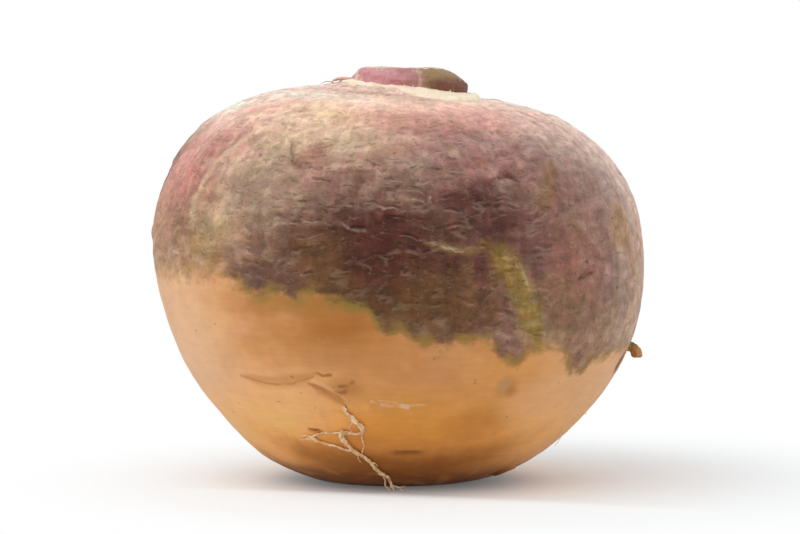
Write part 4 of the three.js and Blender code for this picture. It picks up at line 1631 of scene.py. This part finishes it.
# %% Colours of the slice
CUT_TAN = (0.60, 0.43, 0.23)
CUT_BROWN = (0.36, 0.22, 0.10)

at_rim = eased(1 - np.abs(up_the_side - 1.0) / 0.07)
neck_colour = spread(neck_colour, RIM_CREAM, 0.9 * at_rim)
sliced = eased((up_the_side - 1.03) / 0.03)
neck_colour = layered(
    neck_colour,
    (CUT_TAN, sliced),
    (CUT_BROWN, sliced * eased(0.4 + rings_of_wood)),
    (CUT_BROWN, 0.6 * eased((up_the_side - 1.5) / 0.4)),
)
print("slice covers", round(100 * float(sliced.mean())), "% of the neck's points")

# %% Skin of the neck
neck = mesh_object("neck", neck_points, neck_quads)
keep_colour(neck, "neck_colour", neck_colour)
neck_skin = bpy.data.materials.new("neck_skin")
net = Net(neck_skin)
spot = net.node("TexCoord").outputs["Object"]
fibres = net.noise(net.stretched(spot, 1.0, 1.0, 0.25), 1500.0, 4.0, 0.65)
specks = net.noise(spot, 900.0, 4.0, 0.65)
tone = net.scaled(fibres, 0.5, 0.75)
tone = net.times(tone, net.scaled(specks, 0.5, 0.75))
painted = net.toned(net.kept("neck_colour", "Color"), tone)
rise = net.scaled(fibres, 0.22, net.times(specks, 0.16))
gloss = net.scaled(specks, 0.3, 0.38)
net.finish("Material", net.skin(painted, gloss, rise).outputs[0])
neck.data.materials.append(neck_skin)
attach(neck, "root")
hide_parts("cut_neck")
print("skin of the neck:", len(net.tree.nodes), "nodes")

# %% [markdown]
# ### The torn collar
# Where the lowest leaves were pulled away, they took the skin with them and left a cream collar of
# bare flesh with a torn outer edge. It is narrow on the left and wide in front on the right, where
# the edge stands up. The hoop follows the skin of the crown, which is measured with rays from above.

# %% Shape of the collar
COLLAR_EDGE = (
    # turn in degrees from the right, anticlockwise from above, reach of the torn edge, thickness
    (0, 19.2, 1.0), (12, 18.6, 0.9), (40, 17.0, 0.5), (90, 16.2, 0.4), (135, 15.2, 0.4),
    (180, 14.2, 0.4), (205, 14.2, 0.4), (217, 14.1, 0.35), (238, 13.7, 0.3), (257, 13.5, 0.25),
    (269, 13.6, 0.3), (273, 14.8, 0.5), (281, 17.6, 0.7), (290, 21.2, 0.8), (298, 23.8, 0.8),
    (312, 24.2, 0.8), (330, 22.6, 0.85), (350, 20.2, 1.0), (360, 19.2, 1.0),
)
COLLAR_STEPS = 540
COLLAR_TOP = 26
UNDER_NECK = 1.6
WELT_HEIGHT = 0.4
WELT_WIDTH = 2.0
COLLAR_ROOT = 0.7

edge_turn, edge_reach, edge_thick = np.array(COLLAR_EDGE).T
turn = np.linspace(0, 2 * math.pi, COLLAR_STEPS, endpoint=False)
ring_at = np.stack([np.cos(turn), np.sin(turn), 0 * turn], -1)
outer = np.interp(np.degrees(turn), edge_turn, edge_reach)
outer += 0.55 * noise(16 * ring_at, 2.6, 81) + 0.35 * noise(16 * ring_at, 0.9, 82)
thick = np.interp(np.degrees(turn), edge_turn, edge_thick)
neck_turn = np.linspace(0, 2 * math.pi, NECK_SIDES + 1)
inner = np.interp(turn, neck_turn, np.append(neck_reach[1], neck_reach[1, 0])) - UNDER_NECK
print("collar reaches", outer.min().round(1), "to", outer.max().round(1), "mm from the axis")

# %% Hoop of the collar
across = np.linspace(0, 1, COLLAR_TOP)
collar_rows = []
for direction_out, begin, end, lip_height in zip(ring_at, inner, outer, thick):
    reaches = begin + (end - begin) * across
    places = reaches[:, None] * direction_out
    heights = np.array([skin_height(x, y) for x, y, _ in places])
    from_neck = reaches - begin - UNDER_NECK
    lifted = lip_height + (WELT_HEIGHT - lip_height) * eased(1 - from_neck / WELT_WIDTH)
    lifted *= eased((1.0 - across) / 0.10)
    upper = np.stack([places[:, 0], places[:, 1], heights + lifted], -1)
    lower = upper[::-3].copy()
    lower[:, 2] = heights[::-3] - COLLAR_ROOT
    collar_rows.append(np.concatenate([upper, lower]))
collar_rows = np.array(collar_rows)
collar_sides = collar_rows.shape[1]
collar_points = collar_rows.reshape(-1, 3)
collar_quads = np.array(ring_faces(COLLAR_STEPS, collar_sides, looped=True))
collar_relief = 0.16 * noise(collar_points, 1.8, 83) + 0.08 * noise(collar_points, 0.7, 84)
on_top = np.tile(np.arange(collar_sides) < COLLAR_TOP, COLLAR_STEPS)
collar_points[:, 2] += collar_relief * on_top
print("collar:", len(collar_quads), "quads")

# %% [markdown]
# Short torn fibres stick up where the collar meets the neck. Each is a thin tube along a bent path,
# and the same two helpers, one that sweeps a tube and one that gathers shapes into a single piece,
# make the flap and the side roots further down.

# %% Tubes along paths
TUBE_START = (0.31, 0.52, 0.79)


def swept(path, sides):
    """Points and faces of a closed tube along a path whose rows are x, y, z and radius."""
    middles = path[:, :3]
    ahead = np.gradient(middles, axis=0)
    ahead /= np.linalg.norm(ahead, axis=1, keepdims=True)
    angles = np.linspace(0, 2 * math.pi, sides, endpoint=False)[:, None]
    sideways = np.array(TUBE_START)
    rings = []
    for place, along_it, radius in zip(middles, ahead, path[:, 3]):
        sideways = sideways - (sideways @ along_it) * along_it
        sideways /= np.linalg.norm(sideways)
        other = np.cross(along_it, sideways)
        rings.append(place + radius * (np.cos(angles) * sideways + np.sin(angles) * other))
    return np.concatenate(rings), ring_faces(len(path), sides)


def gathered(shapes):
    """Several shapes as one list of points and one of faces."""
    points, faces, count = [], [], 0
    for shape_points, shape_faces in shapes:
        points.append(shape_points)
        faces += [[corner + count for corner in face] for face in shape_faces]
        count += len(shape_points)
    return np.concatenate(points), faces


print("two tubes of 3 rings:", len(gathered([(np.zeros((24, 3)), ring_faces(3, 8))] * 2)[1]), "faces")

# %% Torn fibres
FIBRE_COUNT = 34
FRAYED_SIDE, FRAYED_REACH = 275, 14
random = np.random.default_rng(12)
shapes = [(collar_points, collar_quads.tolist())]
for _ in range(FIBRE_COUNT):
    in_front = random.random() < 0.5
    angle = random.normal(FRAYED_SIDE, FRAYED_REACH) if in_front else random.uniform(0, 360)
    angle = math.radians(angle)
    reach_out = np.interp(angle % (2 * math.pi), turn, inner) + UNDER_NECK + random.uniform(-0.1, 0.5)
    x, y = reach_out * math.cos(angle), reach_out * math.sin(angle)
    foot = np.array([x, y, skin_height(x, y)])
    lean = np.array([random.uniform(-0.7, 0.7), random.uniform(-0.7, 0.7), 1.0])
    long = random.uniform(0.3, 0.9)
    bow = np.array([random.uniform(-0.3, 0.3), random.uniform(-0.3, 0.3), 0.0])
    stops = [foot, foot + 0.5 * long * lean + bow, foot + long * lean]
    thickness = random.uniform(0.08, 0.16)
    rows = [(*stop, thickness * size) for stop, size in zip(stops, (1.3, 1.0, 0.15))]
    shapes.append(swept(through(rows, 0.15), 6))
collar_points, collar_faces = gathered(shapes)
collar = mesh_object("torn_collar", collar_points, collar_faces)
print("collar with", FIBRE_COUNT, "fibres:", len(collar_faces), "faces")

# %% [markdown]
# Bare flesh is cream where it has dried and yellower where it is still moist, with a blush of pink
# from the skin. Torn flesh is full of threads, so the bump is strong and the gloss low.

# %% Flesh of the collar
COLLAR_CREAM = (0.98, 0.87, 0.70)
COLLAR_YELLOW = (0.95, 0.80, 0.56)
COLLAR_PINK = (0.90, 0.62, 0.52)
FLESH_SHINE = 0.3

torn_flesh = bpy.data.materials.new("torn_flesh")
net = Net(torn_flesh)
spot = net.node("TexCoord").outputs["Object"]
clouds = net.noise(spot, 420.0, 4.0, 0.6)
threads = net.noise(net.stretched(spot, 1.0, 1.0, 2.5), 1300.0, 4.0, 0.7)
flesh = net.mix(net.climb(clouds, 0.42, 0.62), COLLAR_CREAM, COLLAR_YELLOW)
blush = net.climb(net.noise(spot, 250.0, 3.0, 0.6), 0.52, 0.68, 0.0, 0.6)
flesh = net.mix(blush, flesh, COLLAR_PINK)
flesh = net.toned(flesh, net.scaled(threads, 0.4, 0.82))
rise = net.scaled(threads, 0.12, net.times(clouds, 0.12))
gloss = net.scaled(clouds, 0.25, 0.45)
net.finish("Material", net.skin(flesh, gloss, rise, shine=FLESH_SHINE).outputs[0])
collar.data.materials.append(torn_flesh)
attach(collar, "root")
print("flesh of the collar:", len(net.tree.nodes), "nodes")

# %% [markdown]
# ### A torn flap
# Left of the neck a small curl of red skin is still hanging on, with a grey root hair beside it. A
# flap is a tube pressed flat: wide across, thin through, and tapering to its tip.

# %% Flap and hair
FLAP_WIDE = 1.5
FLAP_THIN = 0.5
FLAP_CURL = 0.16
FLAP_SIDES = 20
FLAP_STEP = 0.2
FLAP_ROWS = (
    # x, y, z and radius
    (-10.6, -2.2, 97.6, 0.9), (-12.2, -2.6, 98.1, 1.0), (-13.8, -2.9, 98.3, 0.85),
    (-15.3, -3.1, 98.0, 0.5), (-16.2, -3.2, 97.5, 0.12),
)
HAIR_ROWS = (
    (-15.4, -3.4, 97.2, 0.10), (-16.6, -3.8, 97.6, 0.09), (-17.6, -4.0, 97.55, 0.08),
    (-18.6, -4.0, 97.0, 0.04),
)
middle_line = through(FLAP_ROWS, FLAP_STEP)
flap_points, flap_faces = swept(middle_line, FLAP_SIDES)
along_flap = np.repeat(np.arange(len(middle_line)), FLAP_SIDES)
offset = flap_points - middle_line[along_flap, :3]
offset[:, 1] *= FLAP_WIDE
offset[:, 2] = FLAP_THIN * offset[:, 2] + FLAP_CURL * offset[:, 1] ** 2
flap_points = middle_line[along_flap, :3] + offset
flap_points += 0.12 * noise(flap_points, 0.9, 91)[:, None]
flap = mesh_object("torn_flap", flap_points, flap_faces)
hair = mesh_object("crown_hair", *swept(through(HAIR_ROWS, FLAP_STEP), 8))
print("flap:", len(flap_faces), "faces, hair:", len(hair.data.polygons))

# %% [markdown]
# Dry skin, hairs and rootlets share one kind of finish: fibres that run along the piece, between a
# pale colour and a dark one, and a rough surface. So one function makes them all.

# %% Dry fibre
DRY_ROUGHNESS = 0.6
DRY_BUMP = 0.8
DRY_DEPTH = 0.0003


def plain_fibre(name, pale, dark, scale, stretch):
    """A dry, fibrous material between two colours."""
    made = bpy.data.materials.new(name)
    net = Net(made)
    spot = net.node("TexCoord").outputs["Object"]
    grain = net.noise(net.stretched(spot, *stretch), scale, 4.0, 0.65)
    colour = net.mix(net.climb(grain, 0.38, 0.62), dark, pale)
    net.finish("Material", net.skin(colour, DRY_ROUGHNESS, grain, DRY_BUMP, DRY_DEPTH).outputs[0])
    return made


FLAP_RED = (0.86, 0.56, 0.47)
FLAP_DARK = (0.64, 0.34, 0.27)
HAIR_GREY = (0.42, 0.34, 0.24)
HAIR_BROWN = (0.22, 0.15, 0.09)
flap.data.materials.append(plain_fibre("flap_skin", FLAP_RED, FLAP_DARK, 900.0, (0.4, 1.0, 1.0)))
hair.data.materials.append(plain_fibre("dry_hair", HAIR_GREY, HAIR_BROWN, 900.0, (0.4, 1.0, 1.0)))
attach(flap, "root")
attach(hair, "root")
print("dry finishes:", flap.data.materials[0].name, hair.data.materials[0].name)

# %% [markdown]
# ## Side roots
# A rutabaga drinks through thin side roots. This one has kept a dried one in front. It leaves the
# skin at the end of a groove, loops around a knot and runs down to the ground as a bundle of
# fibres. Its route is a list of places on the skin with a radius, and twisted pairs of strands
# look more like dry root than one smooth tube does.

# %% Routes on the skin
def on_skin(route):
    """A route of longitude, latitude, radius and lift as rows of x, y, z and radius."""
    rows = []
    for east, north, radius, lift in route:
        aim = direction(east, north)
        hit = skin_tree.ray_cast(Vector(middle), Vector(aim))[0]
        rows.append((*(np.array(hit) + (radius + lift) * aim), radius))
    return rows


print("a thread on the front of the girth:", np.round(on_skin([(0, 0, 0.5, 0)])[0], 1))

# %% Twisted strands
STRAND_STEP = 0.25
STRAND_SIDES = 8
random = np.random.default_rng(31)


def twisted(rows, strands, pitch, spread_out):
    """Several thin strands wound around a route."""
    path = through(rows, STRAND_STEP)
    lengths = np.linalg.norm(np.diff(path[:, :3], axis=0), axis=1)
    passed = np.concatenate([[0], np.cumsum(lengths)])
    ahead = np.gradient(path[:, :3], axis=0)
    ahead /= np.linalg.norm(ahead, axis=1, keepdims=True)
    away = path[:, :3] - middle
    away -= (away * ahead).sum(1, keepdims=True) * ahead
    away /= np.linalg.norm(away, axis=1, keepdims=True)
    beside = np.cross(ahead, away)
    made = []
    for strand in range(strands):
        phase = 2 * math.pi * (passed / pitch + strand / strands) + random.uniform(-0.4, 0.4)
        wobble = 1 + 0.35 * np.sin(passed * random.uniform(1.2, 2.4) + random.uniform(0, 6))
        far = (spread_out * wobble * path[:, 3])[:, None]
        winding = path.copy()
        outwards = 0.5 * (1 + np.sin(phase))[:, None] * away
        winding[:, :3] += far * (np.cos(phase)[:, None] * beside + outwards)
        bumpy = 1 + 0.25 * np.sin(passed * random.uniform(3, 6) + random.uniform(0, 6))
        winding[:, 3] *= bumpy * (0.75 if strands > 1 else 1.0)
        made.append(swept(winding, STRAND_SIDES))
    return made


print("a strand has", STRAND_SIDES, "sides and a ring every", STRAND_STEP, "mm")

# %% [markdown]
# Each row below is a longitude, a latitude, a radius and a lift above the skin, both in
# millimetres. The thick ones run from the groove to the knot and on to the ground, and the thin
# ones leave them to the left and right.

# %% Strands of the rootlet
UPPER = (
    (-15.4, -30.6, 0.30, -0.35), (-14.6, -32.4, 0.42, 0.0), (-12.9, -34.2, 0.44, 0.05),
    (-11.3, -35.8, 0.46, 0.1), (-10.7, -37.2, 0.42, 0.1), (-11.2, -39.2, 0.30, 0.05),
)
TO_KNOT = (
    (-10.9, -38.6, 0.26, 0.1), (-12.4, -39.3, 0.28, 0.2), (-14.4, -39.3, 0.30, 0.2),
    (-16.4, -39.1, 0.32, 0.1), (-17.8, -39.6, 0.40, 0.05),
)
LOWER = (
    (-17.2, -38.4, 0.30, 0.0), (-17.9, -39.8, 0.55, 0.0), (-17.8, -41.6, 0.50, 0.05),
    (-16.6, -44.0, 0.36, 0.05), (-14.9, -46.0, 0.40, 0.1), (-13.1, -47.5, 0.36, 0.1),
    (-11.1, -49.4, 0.32, 0.1), (-9.6, -51.8, 0.34, 0.15), (-7.8, -54.6, 0.38, 0.2),
    (-5.8, -56.4, 0.34, 0.25), (-4.2, -57.6, 0.30, 0.3),
)
RIGHT_HAIR = (
    (-11.1, -39.0, 0.20, 0.0), (-11.6, -41.4, 0.16, 0.1), (-11.5, -44.3, 0.18, 0.05),
    (-12.6, -46.4, 0.20, 0.0), (-12.9, -47.4, 0.16, 0.0),
)
UPPER_LEFT = (
    (-17.6, -39.4, 0.22, 0.0), (-21.1, -39.6, 0.18, 0.05), (-24.8, -40.2, 0.20, 0.05),
    (-28.0, -41.2, 0.26, 0.0), (-29.6, -41.8, 0.24, 0.0),
)
LOWER_LEFT = (
    (-15.0, -46.2, 0.30, 0.0), (-18.6, -45.6, 0.26, 0.05), (-21.9, -44.4, 0.30, 0.0),
    (-24.0, -44.0, 0.34, 0.0), (-26.6, -43.2, 0.30, 0.0), (-29.2, -41.9, 0.46, 0.0),
    (-31.2, -42.2, 0.26, 0.0), (-33.4, -42.8, 0.14, 0.0), (-35.4, -43.1, 0.06, 0.0),
)
SECOND_TIP = ((-29.0, -41.6, 0.24, 0.1), (-31.6, -41.0, 0.14, 0.1), (-33.6, -41.2, 0.05, 0.1))
INNER_LOOP = (
    (-12.2, -34.8, 0.12, 0.0), (-13.8, -36.2, 0.13, 0.05), (-14.9, -37.6, 0.13, 0.05),
    (-14.3, -39.4, 0.12, 0.1),
)
LOOSE_HAIR = ((-14.0, -46.9, 0.14, 0.0), (-14.8, -49.0, 0.12, 0.1), (-14.4, -51.9, 0.05, 0.0))
SIDE_BIT = ((-9.9, -50.6, 0.18, 0.1), (-8.4, -51.2, 0.16, 0.2), (-8.0, -52.6, 0.10, 0.2))
BUNDLES = (
    # route, strands, millimetres a turn, how far the strands spread
    (UPPER, 2, 7.0, 0.75),
    (TO_KNOT, 2, 9.0, 0.7),
    (RIGHT_HAIR, 1, 9.0, 0.4),
    (UPPER_LEFT, 1, 9.0, 0.5),
    (LOWER_LEFT, 2, 8.0, 0.5),
    (SECOND_TIP, 1, 5.0, 0.4),
    (INNER_LOOP, 1, 9.0, 0.4),
    (LOOSE_HAIR, 1, 9.0, 0.4),
    (SIDE_BIT, 1, 9.0, 0.4),
)
shapes = []
for route, strands, pitch, spread_out in BUNDLES:
    shapes += twisted(on_skin(route), strands, pitch, spread_out)
print("rootlet: strands so far", len(shapes))

# %% [markdown]
# The bundle leaves the skin near the ground and frays into loose ends that lie on the table.

# %% The frayed end
BUNDLE_END = (
    # x, y, z and radius
    (-1.9, -28.0, 3.0, 0.28), (-1.3, -27.4, 1.7, 0.26), (-0.7, -26.4, 0.8, 0.22),
    (-0.2, -25.2, 0.45, 0.12),
)
FRAYS = (
    ((-4.2, -27.2, 5.2, 0.18), (-3.0, -28.3, 3.2, 0.20), (-3.0, -28.4, 2.1, 0.18), (-2.2, -27.9, 0.9, 0.14),
     (-1.6, -27.5, 0.3, 0.08)),
    ((-1.4, -27.3, 1.9, 0.16), (-0.2, -27.4, 1.5, 0.13), (0.8, -27.2, 1.2, 0.11), (1.6, -26.8, 1.5, 0.10),
     (2.2, -26.6, 0.8, 0.09), (2.8, -26.9, 0.2, 0.06)),
    ((0.6, -27.2, 1.1, 0.10), (1.0, -27.6, 0.5, 0.09), (1.8, -27.8, 0.25, 0.07), (2.4, -27.5, 0.2, 0.04)),
    ((-1.3, -27.4, 1.6, 0.14), (-0.9, -27.7, 0.7, 0.12), (-0.3, -27.8, 0.25, 0.06)),
)
lower_rows = on_skin(LOWER) + list(BUNDLE_END)
shapes += twisted(lower_rows, 3, 6.5, 0.70)
for fray in FRAYS:
    shapes += twisted(fray, 1, 6.0, 0.3)
rootlet_points, rootlet_faces = gathered(shapes)
rootlet = mesh_object("dried_rootlet", rootlet_points, rootlet_faces)
print("rootlet:", len(rootlet_faces), "faces")

# %% Finish of the rootlet
ROOTLET_CREAM = (0.96, 0.74, 0.50)
ROOTLET_STRAW = (0.74, 0.46, 0.22)
dried_rootlet = plain_fibre("dried_rootlet", ROOTLET_CREAM, ROOTLET_STRAW, 700.0, (1.0, 1.0, 0.6))
rootlet.data.materials.append(dried_rootlet)
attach(rootlet, "root")
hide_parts("front_rootlet")
print("rootlet reaches down to", rootlet_points[:, 2].min().round(2), "mm")

# %% [markdown]
# On the right a thicker side root has broken off short. Its stump bends down, dark and olive where
# it leaves the skin and orange at the broken end, with its inner side painted darker red as shade.

# %% The stump
STUMP_ROWS = (
    (55.4, -3.0, 33.1, 1.1), (56.6, -3.0, 33.0, 1.2), (57.4, -3.0, 32.7, 1.25), (58.0, -3.0, 32.1, 1.3),
    (58.4, -3.0, 31.4, 1.35), (58.6, -3.0, 30.8, 1.3), (58.65, -3.0, 30.3, 1.0), (58.65, -3.0, 30.15, 0.5),
    (58.65, -3.0, 30.2, 0.1),
)
STUMP_SIDES = 40
stump_path = through(STUMP_ROWS, 0.12)
stump_points, stump_faces = swept(stump_path, STUMP_SIDES)
along_stump = np.repeat(np.linspace(0, 1, len(stump_path)), STUMP_SIDES)
stump_out = normals_of(stump_points, np.array(stump_faces[:-2]))
stump_relief = 0.16 * noise(stump_points, 0.8, 95) + 0.07 * noise(stump_points, 0.35, 96)
stump_points = stump_points + stump_out * stump_relief[:, None]
stump = mesh_object("side_stump", stump_points, stump_faces)
print("stump:", len(stump_faces), "faces, out to", stump_points[:, 0].max().round(1), "mm")

# %% Colours of the stump
STUMP_OLIVE = (0.30, 0.18, 0.06)
STUMP_TAN = (0.50, 0.33, 0.16)
STUMP_ORANGE = (0.62, 0.29, 0.095)
STUMP_RED = (0.34, 0.12, 0.05)
stump_colour = np.tile(STUMP_OLIVE, (len(stump_points), 1))
stump_colour = spread(stump_colour, STUMP_TAN, 0.7 * eased(0.3 + 1.6 * noise(stump_points, 0.7, 97)))
stump_colour = spread(stump_colour, STUMP_ORANGE, 0.9 * eased((along_stump - 0.42) / 0.2))
# painted shade: the inner side, towards the root, is made darker red
shaded_inner_side = eased((58.6 - stump_points[:, 0]) / 0.8) * eased((along_stump - 0.4) / 0.2)
stump_colour = spread(stump_colour, STUMP_RED, 0.6 * shaded_inner_side)
keep_colour(stump, "stump_colour", stump_colour)
print("stump, mean colour", stump_colour.mean(0).round(3))

# %% Finish of the stump
dried_stump = bpy.data.materials.new("dried_stump")
net = Net(dried_stump)
spot = net.node("TexCoord").outputs["Object"]
grain = net.noise(spot, 2200.0, 4.0, 0.65)
tone = net.scaled(grain, 0.9, 0.55)
painted = net.toned(net.kept("stump_colour", "Color"), tone)
net.finish("Material", net.skin(painted, DRY_ROUGHNESS, grain, DRY_BUMP, DRY_DEPTH).outputs[0])
stump.data.materials.append(dried_stump)
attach(stump, "root")
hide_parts("side_root_stump")
print("finish of the stump:", len(net.tree.nodes), "nodes")

# %% [markdown]
# Last, a few root hairs as thin as thread still stick to the orange skin.

# %% Root hairs
HAIR_STEP = 0.3
HAIR_SIDES = 6
HAIRS = (
    ((64.0, -39.4, 0.09, 0.0), (66.4, -41.0, 0.08, 0.5), (68.2, -43.0, 0.07, 1.0), (69.0, -45.2, 0.05, 1.3)),
    ((72.0, -36.0, 0.06, 0.0), (74.5, -35.0, 0.06, 0.3), (77.0, -35.6, 0.04, 0.5)),
    ((-58.0, -50.6, 0.06, 0.0), (-60.5, -51.0, 0.05, 0.3), (-62.5, -52.4, 0.04, 0.6)),
    ((150.0, -32.0, 0.09, 0.0), (153.0, -34.0, 0.08, 0.4), (155.0, -37.0, 0.06, 0.6)),
    ((208.0, -28.0, 0.08, 0.0), (211.0, -30.0, 0.07, 0.4), (212.0, -33.0, 0.05, 0.7)),
)
hair_shapes = [swept(through(on_skin(one), HAIR_STEP), HAIR_SIDES) for one in HAIRS]
hair_points, hair_faces = gathered(hair_shapes)
hairs = mesh_object("root_hairs", hair_points, hair_faces)
hairs.data.materials.append(dried_rootlet)
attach(hairs, "root")
print(len(HAIRS), "hairs:", len(hair_faces), "faces")

# %% [markdown]
# ## Sizes
# The looks must not make the root bigger than the solids that carry it. The box around the pieces
# is kept beside the box of the solids, so that the two can be compared.

# %% Sizes
low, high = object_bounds()
print("looks span", [round(side / MM, 1) for side in high - low], "mm")
